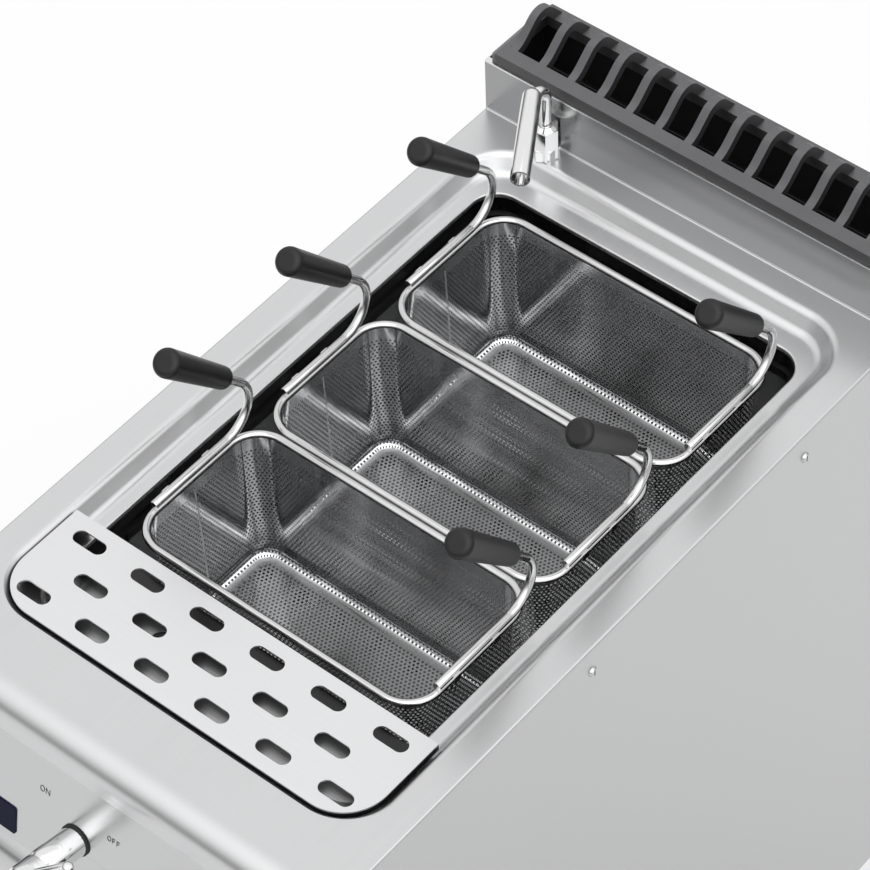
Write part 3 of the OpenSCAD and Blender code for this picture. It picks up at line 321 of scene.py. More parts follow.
# Worktop. One stainless sheet, pressed: a rolled nose at the front, a sunk recess with
# sloping walls round the tank, a mouth turned down into the tank, and a cove at the splash-back.
MM = 0.001
TOP_Z = 850.0
TOP_HALF = 200.0
TOP_SHEET = 0.7
NOSE_Y, NOSE_R, NOSE_LIP, NOSE_STEPS = -335.0, 22.0, 5.0, 12
LIP_OUT, FOLD_OUT, FOLD_DOWN = 0.1, 0.9, 3.2
CREASE_Y, COVE_R, COVE_GAP, COVE_STEPS = 331.0, 1.6, 0.2, 6
EDGE_R, EDGE_STEPS = 2.0, 4
RECESS_HALF, RECESS_Y0, RECESS_Y1, RECESS_R = 174.0, -271.0, 308.0, 42.0
RECESS_RUN, RECESS_DROP = 10.0, 15.0
RIM_FLAT, LEDGE_FLAT = 4.6, 6.0
WALL_FILLETS, FILLET_STEPS = (8.0, 9.0), 8
FRONT_SET, FRONT_STEEP = 2.0, 3.0
TANK_HALF, TANK_Y0, TANK_Y1, TANK_R = 152.0, -247.0, 279.0, 24.0
MOUTH_TURN = ((0.8, 0), (0, -0.2), (-0.6, -0.8), (-0.8, -1.6), (-0.8, -4.0))
SPOUT_X, SPOUT_Y, SPOUT_HOLE_R, SPOUT_HOLE_STEPS = -130.0, 319.0, 6.0, 24
CORNER_STEPS = 16


def filleted(points, radii, steps):
    """A 2-D path with its inner corners rounded."""
    path = [Vector(points[0])]
    for i, radius in enumerate(radii, 1):
        here = Vector(points[i])
        back = (Vector(points[i - 1]) - here).normalized()
        ahead = (Vector(points[i + 1]) - here).normalized()
        half = back.angle(ahead) / 2
        middle = here + (back + ahead).normalized() * (radius / math.sin(half))
        first = here + back * (radius / math.tan(half)) - middle
        last = here + ahead * (radius / math.tan(half)) - middle
        turn = math.atan2(first.x * last.y - first.y * last.x, first.dot(last))
        for k in range(steps + 1):
            path.append(middle + Matrix.Rotation(turn * k / steps, 2) @ first)
    path.append(Vector(points[-1]))
    return path


def rounded_loop(half, y0, y1, radius, z):
    """Points round a rectangle with round corners, counter-clockwise."""
    points = []
    spots = ((1, y1 - radius, 0), (-1, y1 - radius, 90), (-1, y0 + radius, 180), (1, y0 + radius, 270))
    for side, y, start in spots:
        for k in range(CORNER_STEPS + 1):
            a = math.radians(start + 90 * k / CORNER_STEPS)
            points.append((side * (half - radius) + radius * math.cos(a), y + radius * math.sin(a), z))
    return points


def add_points(mesh, points):
    return [mesh.verts.new(Vector(p) * MM) for p in points]


def join_rows(mesh, a, b, closed=True):
    """Quads between two rows of points."""
    count = len(a) if closed else len(a) - 1
    for k in range(count):
        n = (k + 1) % len(a)
        mesh.faces.new((a[k], a[n], b[n], b[k]))


def row_edges(mesh, row):
    edges = []
    for k, vert in enumerate(row):
        ends = (vert, row[(k + 1) % len(row)])
        edges.append(mesh.edges.get(ends) or mesh.edges.new(ends))
    return edges


def to_object(mesh, name, material):
    bmesh.ops.recalc_face_normals(mesh, faces=mesh.faces)
    data = bpy.data.meshes.new(name)
    mesh.to_mesh(data)
    mesh.free()
    data.shade_smooth()
    piece = bpy.data.objects.new(name, data)
    bpy.context.scene.collection.objects.link(piece)
    data.materials.append(material)
    return piece


def press_recess(mesh):
    """The recess, from the flat top down to its ledge and the mouth; returns its upper row."""
    wall = filleted(
        [(RIM_FLAT, 0), (0, 0), (-RECESS_RUN, -RECESS_DROP), (-RECESS_RUN - LEDGE_FLAT, -RECESS_DROP)],
        WALL_FILLETS, FILLET_STEPS,
    )
    rows = []
    for out, z in wall:
        front = RECESS_Y0 + FRONT_SET - min(out, out / FRONT_STEEP)
        rows.append(add_points(mesh, rounded_loop(
            RECESS_HALF + out, front, RECESS_Y1 + out, RECESS_R + out, TOP_Z + z)))
    for out, z in MOUTH_TURN:
        rows.append(add_points(mesh, rounded_loop(
            TANK_HALF + out, TANK_Y0 - out, TANK_Y1 + out, TANK_R + out, TOP_Z - RECESS_DROP + z)))
    for a, b in zip(rows, rows[1:]):
        join_rows(mesh, a, b)
    return rows[0]


def nose_to_cove():
    """The sheet's outline from under the nose to the cove: (y, z) and the outward direction at each."""
    outline = [
        ((NOSE_Y - FOLD_OUT, -NOSE_R - NOSE_LIP - FOLD_DOWN), (-1, 0)),
        ((NOSE_Y - LIP_OUT, -NOSE_R - NOSE_LIP), (-1, 0)),
        ((NOSE_Y, -NOSE_R), (-1, 0)),
    ]
    for k in range(1, NOSE_STEPS + 1):
        a = math.radians(90 * k / NOSE_STEPS)
        spot = (NOSE_Y + NOSE_R - NOSE_R * math.cos(a), -NOSE_R + NOSE_R * math.sin(a))
        outline.append((spot, (-math.cos(a), math.sin(a))))
    back_y = CREASE_Y - COVE_R
    outline.append(((back_y, 0), (0, 1)))
    for k in range(1, COVE_STEPS + 1):
        a = math.radians(90 * k / COVE_STEPS)
        spot = (back_y + (COVE_R - COVE_GAP) * math.sin(a), COVE_R * (1 - math.cos(a)))
        outline.append((spot, (-math.sin(a), math.cos(a))))
    return outline


def roll_sides(mesh, outline):
    """Rolls the sheet over at both sides and closes the nose's cheeks; returns each side's inner row."""
    inner = {}
    for side in (-1, 1):
        rows = []
        for (y, z), (out_y, out_z) in outline:
            row = []
            for k in range(EDGE_STEPS + 1):
                a = math.radians(90 * k / EDGE_STEPS)
                sink = EDGE_R * (1 - math.cos(a))
                x = side * (TOP_HALF - EDGE_R + EDGE_R * math.sin(a))
                row.append((x, y - out_y * sink, TOP_Z + z - out_z * sink))
            rows.append(add_points(mesh, row))
        for a, b in zip(rows, rows[1:]):
            join_rows(mesh, a, b, closed=False)
        cheek = [row[-1] for row in rows[1:NOSE_STEPS + 3]]
        cheek += add_points(mesh, [(side * TOP_HALF, NOSE_Y + NOSE_R, TOP_Z - NOSE_R - NOSE_LIP)])
        mesh.faces.new(cheek)
        inner[side] = [row[0] for row in rows]
    return inner


def build_worktop(material):
    mesh = bmesh.new()
    recess_row = press_recess(mesh)
    outline = nose_to_cove()
    inner = roll_sides(mesh, outline)
    flat = len(outline) - COVE_STEPS - 2
    for k in range(len(outline) - 1):
        if k != flat:
            mesh.faces.new((inner[-1][k], inner[1][k], inner[1][k + 1], inner[-1][k + 1]))

    hole = []
    for k in range(SPOUT_HOLE_STEPS):
        a = math.radians(360 * k / SPOUT_HOLE_STEPS)
        hole.append((SPOUT_X + SPOUT_HOLE_R * math.cos(a), SPOUT_Y + SPOUT_HOLE_R * math.sin(a), TOP_Z))
    hole_row = add_points(mesh, hole)
    flat_row = [inner[-1][flat], inner[1][flat], inner[1][flat + 1], inner[-1][flat + 1]]
    loops = row_edges(mesh, recess_row) + row_edges(mesh, hole_row) + row_edges(mesh, flat_row)
    bmesh.ops.triangle_fill(mesh, use_beauty=True, edges=loops, normal=(0, 0, 1))
    piece = to_object(mesh, "worktop_pressing", material)
    shell = piece.modifiers.new("sheet", "SOLIDIFY")
    shell.thickness = TOP_SHEET * MM
    shell.offset = -1
    soften(piece, 0, weld=False)
    return piece


top_steel = brushed("top_steel", 0.65, ALONG_Y, smooth=0.27, rough=0.37, contrast=0.06)
worktop = build_worktop(top_steel)
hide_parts("worktop")
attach(worktop, "cabinet")
dressed.add("worktop")


# Flue. A stainless housing whose front wall is the splash-back, and on top of it a grey
# enamelled casting with curved ribs that lifts off.
FLUE_FRONT, FLUE_BACK, FLUE_HALF = 0.336, 0.404, 0.199
# The housing's top edge, from the low to the high z, gets a painted highlight that lifts its colour by the
# last factor.
SPLASH_EDGE_LOW, SPLASH_EDGE_HIGH, SPLASH_EDGE_PAINTED_HIGHLIGHT = 0.8994, 0.8999, 2.2
HOUSING_INSIDE_BLACK = (0.012, 0.012, 0.012, 1)


def blacken_inside_paint_edge_highlight(material):
    """Blackens the housing's inside and paints a highlight along its top edge."""
    tree = material.node_tree
    inputs = tree.nodes["Principled BSDF"].inputs
    at = surface_spot(tree)
    inside = math_node(tree, "GREATER_THAN", at["Y"], FLUE_FRONT)
    for bound in (
        math_node(tree, "LESS_THAN", at["Y"], FLUE_BACK),
        math_node(tree, "LESS_THAN", math_node(tree, "ABSOLUTE", at["X"], 0.0), FLUE_HALF),
    ):
        inside = math_node(tree, "MULTIPLY", inside, bound)
    # Painted highlight along the top edge of the splash-back.
    shade_colour(material, ramp(
        tree, at["Z"], SPLASH_EDGE_LOW, SPLASH_EDGE_HIGH, 1.0, SPLASH_EDGE_PAINTED_HIGHLIGHT, ease="LINEAR"))
    edge_highlighted = inputs["Base Color"].links[0].from_socket
    rough = inputs["Roughness"].links[0].from_socket
    tint = place(tree, "ShaderNodeMix", {"data_type": "RGBA"}, {0: inside, 6: edge_highlighted, 7: HOUSING_INSIDE_BLACK})
    tree.links.new(tint.outputs[2], inputs["Base Color"])
    tree.links.new(math_node(tree, "MAXIMUM", rough, inside), inputs["Roughness"])
    tree.links.new(math_node(tree, "SUBTRACT", 1.0, inside), inputs["Metallic"])


splash_steel = brushed("splash_steel", 0.35, ALONG_X, smooth=0.18, rough=0.28, contrast=0.06)
# The splash-back's steel is blackened inside the housing and gets a painted highlight on its top edge.
blacken_inside_paint_edge_highlight(splash_steel)
finish_node("flue_housing", splash_steel, edge=0.0012, segments=3)
grille_enamel = cast(
    "grille_enamel", (0.075, 0.075, 0.079), (0.125, 0.125, 0.129),
    metallic=0.0, size=420, smooth=0.40, rough=0.54, bump=(0.18, 0.0005),
)
finish_node("flue_grille", grille_enamel, edge=0.0011)


# Spout. A chromed tube bent through a right angle that swivels in a hexagon nut with a
# tapered collar, screwed down behind the tank.
SMEAR_SCALE = 55.0


def build_polish():
    """Polished plate: faint smears that change the gloss, and hardly any colour."""
    tree, given, put = new_group(
        "polish", [("Smooth", 0.04), ("Rough", 0.14)], ["Shade", "Roughness", "Height"]
    )
    coords = place(tree, "ShaderNodeTexCoord").outputs["Object"]
    smear = place(tree, "ShaderNodeTexNoise", Vector=coords, Scale=SMEAR_SCALE, Detail=4.0).outputs[0]
    tree.links.new(smear, put["Shade"])
    tree.links.new(smear, put["Height"])
    tree.links.new(blend_roughness(tree, given, smear), put["Roughness"])
    return tree


polish = build_polish()
SMEAR_DARK, SMEAR_PALE, SMEAR_BUMP = 0.93, 1.05, (0.01, 0.0003)


def plated(name, grey, smooth, rough):
    """Chromed or drawn bright metal; grey is its linear brightness."""
    values = {"Smooth": smooth, "Rough": rough}
    dark, pale = [grey * SMEAR_DARK] * 3, [grey * SMEAR_PALE] * 3
    return dress(new_material(name), polish, values, dark, pale, 1.0, SMEAR_BUMP)


chrome = plated("chrome", 0.80, smooth=0.05, rough=0.16)
finish_node("spout_tube", chrome, edge=0.0003)
finish_node("spout_nut", chrome, edge=0.0006)


# Baskets. Perforated stainless sheet welded to a wire rim, two bent rods along the rim's
# ends and a black moulded grip pushed on each rod. They stand on the raised bottom plate.
RIM_Z = 834.0
BASKET_DEEP, BASKET_LEAN, BASKET_FILLET = 128.0, 4.0, 9.0
BASKET_FLOOR_Z = RIM_Z - BASKET_DEEP
WALL_STRAIGHT = math.hypot(BASKET_LEAN, BASKET_DEEP - BASKET_FILLET)
WALL_WAY = WALL_STRAIGHT + BASKET_FILLET * math.pi / 2
SHELL_HALF, SHELL_HALF_D, SHELL_R = 129.4, 63.65, 23.4
FLAT_HALF, FLAT_HALF_D = SHELL_HALF - SHELL_R, SHELL_HALF_D - SHELL_R
PLAIN_BAND = 11.0
HOLES_ROUND = 204
HOLE_R = 1.1
PITCH = (4 * FLAT_HALF + 4 * FLAT_HALF_D + 2 * math.pi * SHELL_R) / HOLES_ROUND
CELL_RISE = PITCH / (2 * math.sqrt(3))
FLOOR_PLAIN = 0.6 * PITCH + 1.0
BASKET_SPOTS = {"front": (-1.5, -89.25), "middle": (0.5, 52.25), "rear": (2.5, 193.75)}


def on_loop(share, inset):
    """A point at a share of the way round the basket's plan, drawn in by inset."""
    w, d, r = FLAT_HALF, FLAT_HALF_D, SHELL_R
    lengths = [2 * d, math.pi * r / 2, 2 * w, math.pi * r / 2] * 2
    way = (share % 1.0) * sum(lengths)
    turn = 0
    while turn < len(lengths) - 1 and way > lengths[turn]:
        way -= lengths[turn]
        turn += 1
    part = way / lengths[turn]
    corners = [(w, d), (-w, d), (-w, -d), (w, -d)]
    outward = [(1, 0), (0, 1), (-1, 0), (0, -1)]
    side = turn // 2
    radius = r - inset
    if turn % 2 == 0:
        a, b = Vector(corners[side - 1]), Vector(corners[side])
        return a.lerp(b, part) + Vector(outward[side]) * radius
    angle = math.radians(90 * (side + part))
    return Vector(corners[side]) + Vector((math.cos(angle), math.sin(angle))) * radius


def wall_drop(way):
    """(inset, height) at a distance down the basket's wall from its rim."""
    if way <= WALL_STRAIGHT:
        share = way / WALL_STRAIGHT
        return BASKET_LEAN * share, BASKET_DEEP - (BASKET_DEEP - BASKET_FILLET) * share
    a = min((way - WALL_STRAIGHT) / BASKET_FILLET, math.pi / 2)
    return BASKET_LEAN + BASKET_FILLET * (1 - math.cos(a)), BASKET_FILLET * (1 - math.sin(a))


def wall_spot(column, level):
    """A cell corner's key and its place on the basket's walls."""
    inset, height = wall_drop(PLAIN_BAND + (level + 2) * CELL_RISE)
    at = on_loop(column / (2 * HOLES_ROUND), inset)
    return (column % (2 * HOLES_ROUND), level), (at.x, at.y, BASKET_FLOOR_Z + height)


def floor_spot(column, level):
    """A cell corner's key and its place on the basket's floor."""
    return (column, level), (column * PITCH / 2, level * CELL_RISE, BASKET_FLOOR_Z)


HEXAGON = ((0, -2), (1, -1), (1, 1), (0, 2), (-1, 1), (-1, -1))


def honeycomb(mesh, cells, spot):
    """Six-sided cells, each with a hole; returns the corners that they share."""
    shrink = HOLE_R / (2 * CELL_RISE)
    corners = {}
    for column, level in cells:
        outer, inner = [], []
        for dx, dl in HEXAGON:
            key, corner = spot(column + dx, level + dl)
            if key not in corners:
                corners[key] = mesh.verts.new(Vector(corner) * MM)
            outer.append(corners[key])
            inner.append(mesh.verts.new(Vector(spot(column + dx * shrink, level + dl * shrink)[1]) * MM))
        join_rows(mesh, outer, inner)
    return corners


def wall_row(mesh, way):
    """A row of points round the basket at a distance down its walls."""
    inset, height = wall_drop(way)
    spots = [on_loop(k / (2 * HOLES_ROUND), inset) for k in range(2 * HOLES_ROUND)]
    return add_points(mesh, [(at.x, at.y, BASKET_FLOOR_Z + height) for at in spots])


def punch_walls(mesh):
    """The walls with their holes, and a plain band under the rim; returns the row round the floor."""
    rows = int((WALL_WAY - PLAIN_BAND - 3 * CELL_RISE) / (3 * CELL_RISE))
    cells = [(2 * i + row % 2, 3 * row) for row in range(rows) for i in range(HOLES_ROUND)]
    corners = honeycomb(mesh, cells, wall_spot)
    top, low = wall_row(mesh, 0), wall_row(mesh, WALL_WAY)
    last = 3 * (rows - 1)
    upper, lower = [], []
    for k in range(2 * HOLES_ROUND):
        upper.append(corners[(k, -2 if k % 2 == 0 else -1)])
        lower.append(corners[(k, last + (2 if (k - (rows - 1)) % 2 == 0 else 1))])
    join_rows(mesh, top, upper)
    join_rows(mesh, lower, low)
    return low


def punch_floor(mesh, low):
    """The floor's holes, and plain sheet from them out to the walls' lowest row."""
    reach = SHELL_R - BASKET_LEAN - BASKET_FILLET - FLOOR_PLAIN
    cells = []
    across, along = int(SHELL_HALF_D / (3 * CELL_RISE)), int(SHELL_HALF / PITCH)
    for row in range(-across, across + 1):
        for i in range(-along, along + 1):
            column, level = 2 * i + row % 2, 3 * row
            x, y = abs(column * PITCH / 2), abs(level * CELL_RISE)
            over = Vector((max(0, x - FLAT_HALF), max(0, y - FLAT_HALF_D)))
            if over.length < reach:
                cells.append((column, level))
    corners = list(honeycomb(mesh, cells, floor_spot).values())
    known = set(corners)
    border = {}
    for corner in corners:
        for edge in corner.link_edges:
            if len(edge.link_faces) == 1 and edge.other_vert(corner) in known:
                border[edge] = True
    loops = list(border) + row_edges(mesh, low)
    bmesh.ops.triangle_fill(mesh, use_beauty=True, edges=loops, normal=(0, 0, 1))


def build_basket(material):
    mesh = bmesh.new()
    punch_floor(mesh, punch_walls(mesh))
    return to_object(mesh, "basket_sheet_front", material)


# Painted light up the basket's sheet, by height above its floor: each step runs from one height to the next
# and scales the colour from one share to the other. The floor and the foot of the walls get painted shade,
# the fillet between them a painted highlight.
BASKET_PAINTED_LIGHT_STEPS = ((0.0004, 0.0015, 0.36, 1.25), (0.004, 0.008, 1.0, 0.42), (0.012, 0.034, 1.0, 1.9))
WAVE_STRETCH, WAVE_BUMP, WAVE_DEPTH = (24.0, 24.0, 3.0), 0.12, 0.004


def paint_basket_light_by_height(material):
    """Paints shade on the floor and the foot of the walls, a highlight along the fillet between them, and
    lets the walls wave.
    """
    tree = material.node_tree
    height = math_node(tree, "SUBTRACT", surface_spot(tree)["Z"], BASKET_FLOOR_Z * MM)
    share = 1.0
    for start, end, first, last in BASKET_PAINTED_LIGHT_STEPS:
        share = math_node(tree, "MULTIPLY", share, ramp(tree, height, start, end, first, last))
    shade_colour(material, share)
    coords = place(tree, "ShaderNodeTexCoord").outputs["Object"]
    drawn = place(tree, "ShaderNodeVectorMath", {"operation": "MULTIPLY"}, {0: coords, 1: WAVE_STRETCH})
    wave = place(tree, "ShaderNodeTexNoise", Vector=drawn.outputs[0], Scale=1.0, Detail=1.0)
    bent = place(
        tree, "ShaderNodeBump", Height=wave.outputs[0], Strength=WAVE_BUMP, Distance=WAVE_DEPTH
    )
    grain = tree.nodes["Principled BSDF"].inputs["Normal"].links[0].from_node
    tree.links.new(bent.outputs[0], grain.inputs["Normal"])


def in_basket(first, kind, label):
    """A basket's own copy of a piece made for the front one, set in its place."""
    piece = first
    if label != "front":
        piece = bpy.data.objects.new(kind + label, first.data)
        bpy.context.scene.collection.objects.link(piece)
    x, y = BASKET_SPOTS[label]
    piece.location = (x * MM, y * MM, 0)
    return piece


basket_steel = brushed("basket_steel", 0.74, ALONG_Z, smooth=0.08, rough=0.16, contrast=0.08)
# Painted shade on the basket's floor and the foot of its walls, and a painted highlight along the fillet.
paint_basket_light_by_height(basket_steel)
wire_steel = plated("wire_steel", 0.66, smooth=0.12, rough=0.26)
sheet_front = build_basket(basket_steel)
for label in BASKET_SPOTS:
    sheet = in_basket(sheet_front, "basket_sheet_", label)
    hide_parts("basket_shell_" + label)
    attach(sheet, "basket_" + label)
    dressed.add("basket_shell_" + label)
    finish_node("basket_rim_" + label, wire_steel)
    finish_node("basket_rods_" + label, wire_steel, edge=0.0005)

SEAM_TOP, SEAM_OFF, SEAM_HALF, SEAM_HIGH, SEAM_SUNK, SEAM_STEPS = 7.0, -3.0, 1.2, 0.5, 0.05, 120
BEAD_MEAN, BEAD_SWING = 0.75, 0.25
BEAD_ACROSS = (-1, -0.6, 0, 0.6, 1)


def build_seam(material):
    """The bead that closes the sheet, down the middle of the basket's left wall."""
    mesh = bmesh.new()
    rows = []
    for k in range(SEAM_STEPS + 1):
        inset, height = wall_drop(SEAM_TOP + (WALL_WAY - SEAM_TOP) * k / SEAM_STEPS)
        swell = BEAD_MEAN + BEAD_SWING * math.cos(math.pi * k)
        rows.append(add_points(mesh, [
            (-SHELL_HALF + inset + SEAM_HIGH * swell * (1 - u * u) - SEAM_SUNK,
             SEAM_OFF + SEAM_HALF * u * swell, BASKET_FLOOR_Z + height)
            for u in BEAD_ACROSS
        ]))
    for a, b in zip(rows, rows[1:]):
        join_rows(mesh, a, b, closed=False)
    return to_object(mesh, "basket_seam_front", material)


seam_steel = plated("seam_steel", 0.72, smooth=0.2, rough=0.34)
seam_front = build_seam(seam_steel)
for label in BASKET_SPOTS:
    seam = in_basket(seam_front, "basket_seam_", label)
    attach(seam, "basket_" + label)


def set_sheen(material, level):
    material.node_tree.nodes["Principled BSDF"].inputs["Specular IOR Level"].default_value = level


black_plastic = cast(
    "black_plastic", (0.007, 0.007, 0.008), (0.013, 0.013, 0.014),
    metallic=0.0, size=900, smooth=0.34, rough=0.46, bump=(0.12, 0.0003),
)
set_sheen(black_plastic, 0.4)
for label in BASKET_SPOTS:
    finish_node("basket_grips_" + label, black_plastic)


# Drain plate. A light satin plate with rows of slots and round front corners, folded down all
# round, that rests on the ledge in front of the baskets and lifts off.
FOLD_TOP, FOLD_FADE, FOLD_SHADE = 0.8497, 0.0004, 0.07


def darken_fold(material):
    """Darkens the plate's folded edge, which hangs in the recess out of the light."""
    tree = material.node_tree
    height = surface_spot(tree)["Z"]
    shade_colour(material, ramp(
        tree, height, FOLD_TOP - FOLD_FADE, FOLD_TOP, FOLD_SHADE, 1.0, ease="LINEAR"))


drain_steel = brushed("drain_steel", 0.76, ALONG_X, smooth=0.32, rough=0.44, contrast=0.05)
darken_fold(drain_steel)
finish_node("drain_plate", drain_steel)


# Control panel. A tilted stainless plate under the nose with a chromed quarter-turn water tap
# on a rubber gasket, printed words, a gas knob, a piezo igniter and a blank navy plate.
PANEL_TILT = math.radians(10.5)
PANEL_TOP_Y, PANEL_TOP_Z = -335.0, 823.0
panel_steel = brushed(
    "panel_steel", 0.58, ALONG_X, smooth=0.20, rough=0.28, contrast=0.02, groove=0.02
)
rubber = cast(
    "rubber", (0.008, 0.008, 0.008), (0.02, 0.02, 0.02),
    metallic=0.0, size=700, smooth=0.5, rough=0.7, bump=(0.1, 0.0003),
)
navy = cast(
    "navy", (0.008, 0.011, 0.045), (0.014, 0.018, 0.065),
    metallic=0.0, size=80, smooth=0.18, rough=0.3, bump=(0.02, 0.0002),
)
set_sheen(navy, 0.05)
finish_node("control_panel", panel_steel, edge=0.0006)
finish_node("tap_gasket", rubber, edge=0.0003)
for node in ("tap_barrel", "tap_lever"):
    finish_node(node, chrome, edge=0.0006, segments=3)
finish_node("name_plate", navy, edge=0.0003)
finish_node("gas_knob", black_plastic, edge=0.0010, segments=3)
finish_node("igniter_body", chrome, edge=0.0005)
finish_node("igniter_button", black_plastic, edge=0.0006)

ROUND_STEPS, ROUND_HALF = 12, 0.42
LETTER_STEP, LETTER_WIDE = 1.15, 0.8
INK_R, INK_LIFT = 0.0003, 0.05


def round_stroke():
    """The closed stroke of a round letter, in a square of side 1."""
    stroke = []
    for k in range(ROUND_STEPS + 1):
        a = math.radians(360 * k / ROUND_STEPS)
        stroke.append((0.5 + ROUND_HALF * math.cos(a), 0.5 + 0.5 * math.sin(a)))
    return stroke


STROKES = {
    "O": [round_stroke()],
    "N": [[(0.1, 0), (0.1, 1), (0.9, 0), (0.9, 1)]],
    "F": [[(0.15, 0), (0.15, 1), (0.85, 1)], [(0.15, 0.52), (0.72, 0.52)]],
}


def on_panel(x, down, out):
    """A point on the tilted panel, in metres."""
    return Vector((
        x,
        PANEL_TOP_Y - down * math.sin(PANEL_TILT) - out * math.cos(PANEL_TILT),
        PANEL_TOP_Z - down * math.cos(PANEL_TILT) + out * math.sin(PANEL_TILT),
    )) * MM


def print_word(word, x, down, size, material):
    """A printed word whose first letter starts x from the middle and stands down from the panel's top."""
    line = bpy.data.curves.new("word_" + word.lower(), "CURVE")
    line.dimensions = "3D"
    line.bevel_depth = INK_R
    line.bevel_resolution = 1
    for i, letter in enumerate(word):
        for stroke in STROKES[letter]:
            spline = line.splines.new("POLY")
            spline.points.add(len(stroke) - 1)
            for point, (u, v) in zip(spline.points, stroke):
                at = on_panel(x + (i * LETTER_STEP + u) * size * LETTER_WIDE, down - v * size, INK_LIFT)
                point.co = (*at, 1)
    line.materials.append(material)
    piece = bpy.data.objects.new("word_" + word.lower(), line)
    bpy.context.scene.collection.objects.link(piece)
    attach(piece, "cabinet")


ink = cast(
    "ink", (0.05, 0.05, 0.055), (0.09, 0.09, 0.095),
    metallic=0.0, size=500, smooth=0.5, rough=0.6, bump=(0.02, 0.0002),
)
print_word("ON", x=-56.0, down=36.5, size=5.6, material=ink)
print_word("OFF", x=8.0, down=40.0, size=4.6, material=ink)


# Door. A folded stainless pan on pin hinges at the left, with a rolled lip along its top to
# pull it by and a magnet catch on the right.
door_steel = brushed("door_steel", 0.52, ALONG_Z, smooth=0.26, rough=0.38, contrast=0.06)
finish_node("door", door_steel, edge=0.0008)
finish_node("door_handle", panel_steel, edge=0.0008)
for node in ("hinge_upper", "hinge_lower"):
    finish_node(node, leg_steel, edge=0.0004)
finish_node("door_catch", black_plastic, edge=0.0006)
undressed = sorted(set(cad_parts) - dressed)
if undressed:
    raise ValueError(f"nodes with no finish: {undressed}")


# Studio. A pale floor with a painted shadow round the cooker, a white surround with a brighter patch that
# shows in mirrored light only, a broad soft lamp overhead and a weak one at the front left, and a long lens
# that looks down on the tank from the front right.
FLOOR_HALF = 6.0
FLOOR_GREY, FLOOR_ROUGH = (0.86, 0.86, 0.86, 1), 0.9
# The floor's glow is a painted shadow near the cooker: it rises from the low share at the near distance to
# the full share at the far one.
GLOW_NEAR, GLOW_FAR, GLOW_LOW, GLOW_FULL = 0.25, 1.0, 0.62, 0.97
WHITE = (1, 1, 1, 1)


def build_floor():
    mesh = bmesh.new()
    corners = [(-1, -1), (1, -1), (1, 1), (-1, 1)]
    mesh.faces.new([mesh.verts.new((x * FLOOR_HALF, y * FLOOR_HALF, 0)) for x, y in corners])
    material = new_material("studio_floor")
    tree = material.node_tree
    shader = tree.nodes["Principled BSDF"]
    shader.inputs["Base Color"].default_value = FLOOR_GREY
    shader.inputs["Roughness"].default_value = FLOOR_ROUGH
    glow = place(tree, "ShaderNodeEmission", Color=WHITE, Strength=1.0)
    rays = place(tree, "ShaderNodeLightPath").outputs
    shown = math_node(tree, "MAXIMUM", rays["Is Camera Ray"], rays["Is Glossy Ray"])
    shown = math_node(tree, "MAXIMUM", shown, rays["Is Transmission Ray"])
    # Painted shadow round the cooker's foot: the floor glows less the nearer it is to the middle.
    away = place(tree, "ShaderNodeVectorMath", {"operation": "LENGTH"}, {
        0: place(tree, "ShaderNodeTexCoord").outputs["Object"],
    })
    painted_shadow_share = ramp(tree, away.outputs["Value"], GLOW_NEAR, GLOW_FAR, GLOW_LOW, GLOW_FULL)
    mix = place(tree, "ShaderNodeMixShader", at={
        0: math_node(tree, "MULTIPLY", shown, painted_shadow_share), 1: shader.outputs[0], 2: glow.outputs[0],
    })
    tree.links.new(mix.outputs[0], tree.nodes["Material Output"].inputs["Surface"])
    piece = to_object(mesh, "studio_floor", material)


SKY_LOW, SKY_HIGH, SKY_DIM, SKY_FULL = -0.05, 0.5, 0.2, 1.0
PATCH_HEADING, PATCH_EDGE, PATCH_MIDDLE, PATCH_SHINE = (0.45, -0.42, 0.79), 0.45, 0.98, 1.1
SKY_DIFFUSE = 0.22


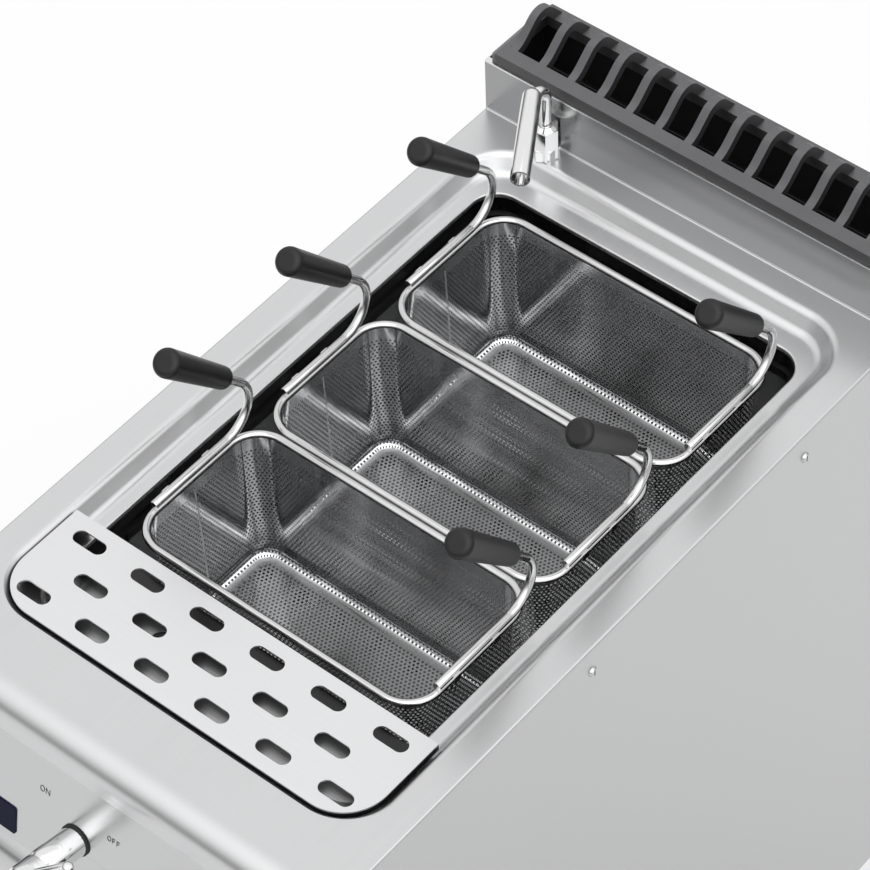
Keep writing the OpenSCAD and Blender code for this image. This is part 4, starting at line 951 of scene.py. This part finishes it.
def build_surround():
    """White to the eye, dimmer for diffuse light, and graded with a bright patch for mirrored light."""
    world = bpy.data.worlds.new("studio")
    bpy.context.scene.world = world
    world.use_nodes = True
    sky = world.node_tree
    rays = place(sky, "ShaderNodeLightPath").outputs
    heading = place(sky, "ShaderNodeTexCoord").outputs["Generated"]
    rise = place(sky, "ShaderNodeSeparateXYZ", Vector=heading).outputs["Z"]
    facing = place(sky, "ShaderNodeVectorMath", {"operation": "DOT_PRODUCT"}, {0: heading, 1: PATCH_HEADING})
    graded = math_node(
        sky, "ADD", ramp(sky, rise, SKY_LOW, SKY_HIGH, SKY_DIM, SKY_FULL),
        ramp(sky, facing.outputs["Value"], PATCH_EDGE, PATCH_MIDDLE, 0.0, PATCH_SHINE),
    )
    seen = math_node(sky, "MAXIMUM", rays["Is Camera Ray"], rays["Is Transmission Ray"])
    mirrored = math_node(sky, "MULTIPLY", rays["Is Glossy Ray"], graded)
    soft = math_node(sky, "MULTIPLY", rays["Is Diffuse Ray"], SKY_DIFFUSE)
    strength = math_node(sky, "MAXIMUM", math_node(sky, "MAXIMUM", seen, mirrored), soft)
    sky.links.new(strength, sky.nodes["Background"].inputs["Strength"])
    sky.nodes["Background"].inputs["Color"].default_value = WHITE


def lamp(name, spot, aim, size, watts):
    light = bpy.data.lights.new(name, "AREA")
    light.size = size
    light.energy = watts
    piece = bpy.data.objects.new(name, light)
    bpy.context.scene.collection.objects.link(piece)
    piece.location = spot
    piece.rotation_euler = (Vector(aim) - Vector(spot)).to_track_quat("-Z", "Y").to_euler()
    piece.visible_glossy = False


build_floor()
build_surround()
lamp("overhead", spot=(-0.5, 0.5, 3.4), aim=(0, 0, 0.85), size=2.0, watts=75)
lamp("front_left", spot=(-2.2, -1.8, 2.2), aim=(0, 0, 0.8), size=1.2, watts=6)

AZIMUTH, ELEVATION, ROLL = math.radians(41.463), math.radians(48.736), math.radians(-2.492)
EYE = (1.2158, -1.3487, 2.9638)
LENS, SENSOR, CLIP_END = 159.30, 36, 50
camera = bpy.data.cameras.new("camera")
camera.lens = LENS
camera.sensor_width = SENSOR
camera.clip_end = CLIP_END
eye = bpy.data.objects.new("camera", camera)
bpy.context.scene.collection.objects.link(eye)
back = Vector((
    math.sin(AZIMUTH) * math.cos(ELEVATION), -math.cos(AZIMUTH) * math.cos(ELEVATION), math.sin(ELEVATION),
))
right = Vector((math.cos(AZIMUTH), math.sin(AZIMUTH), 0))
up = back.cross(right)
axis_x = math.cos(ROLL) * right + math.sin(ROLL) * up
axis_y = math.cos(ROLL) * up - math.sin(ROLL) * right
turned = Matrix((axis_x, axis_y, back)).transposed().to_4x4()
eye.matrix_world = Matrix.Translation(Vector(EYE)) @ turned
bpy.context.scene.camera = eye
bpy.context.scene.view_settings.view_transform = "Standard"
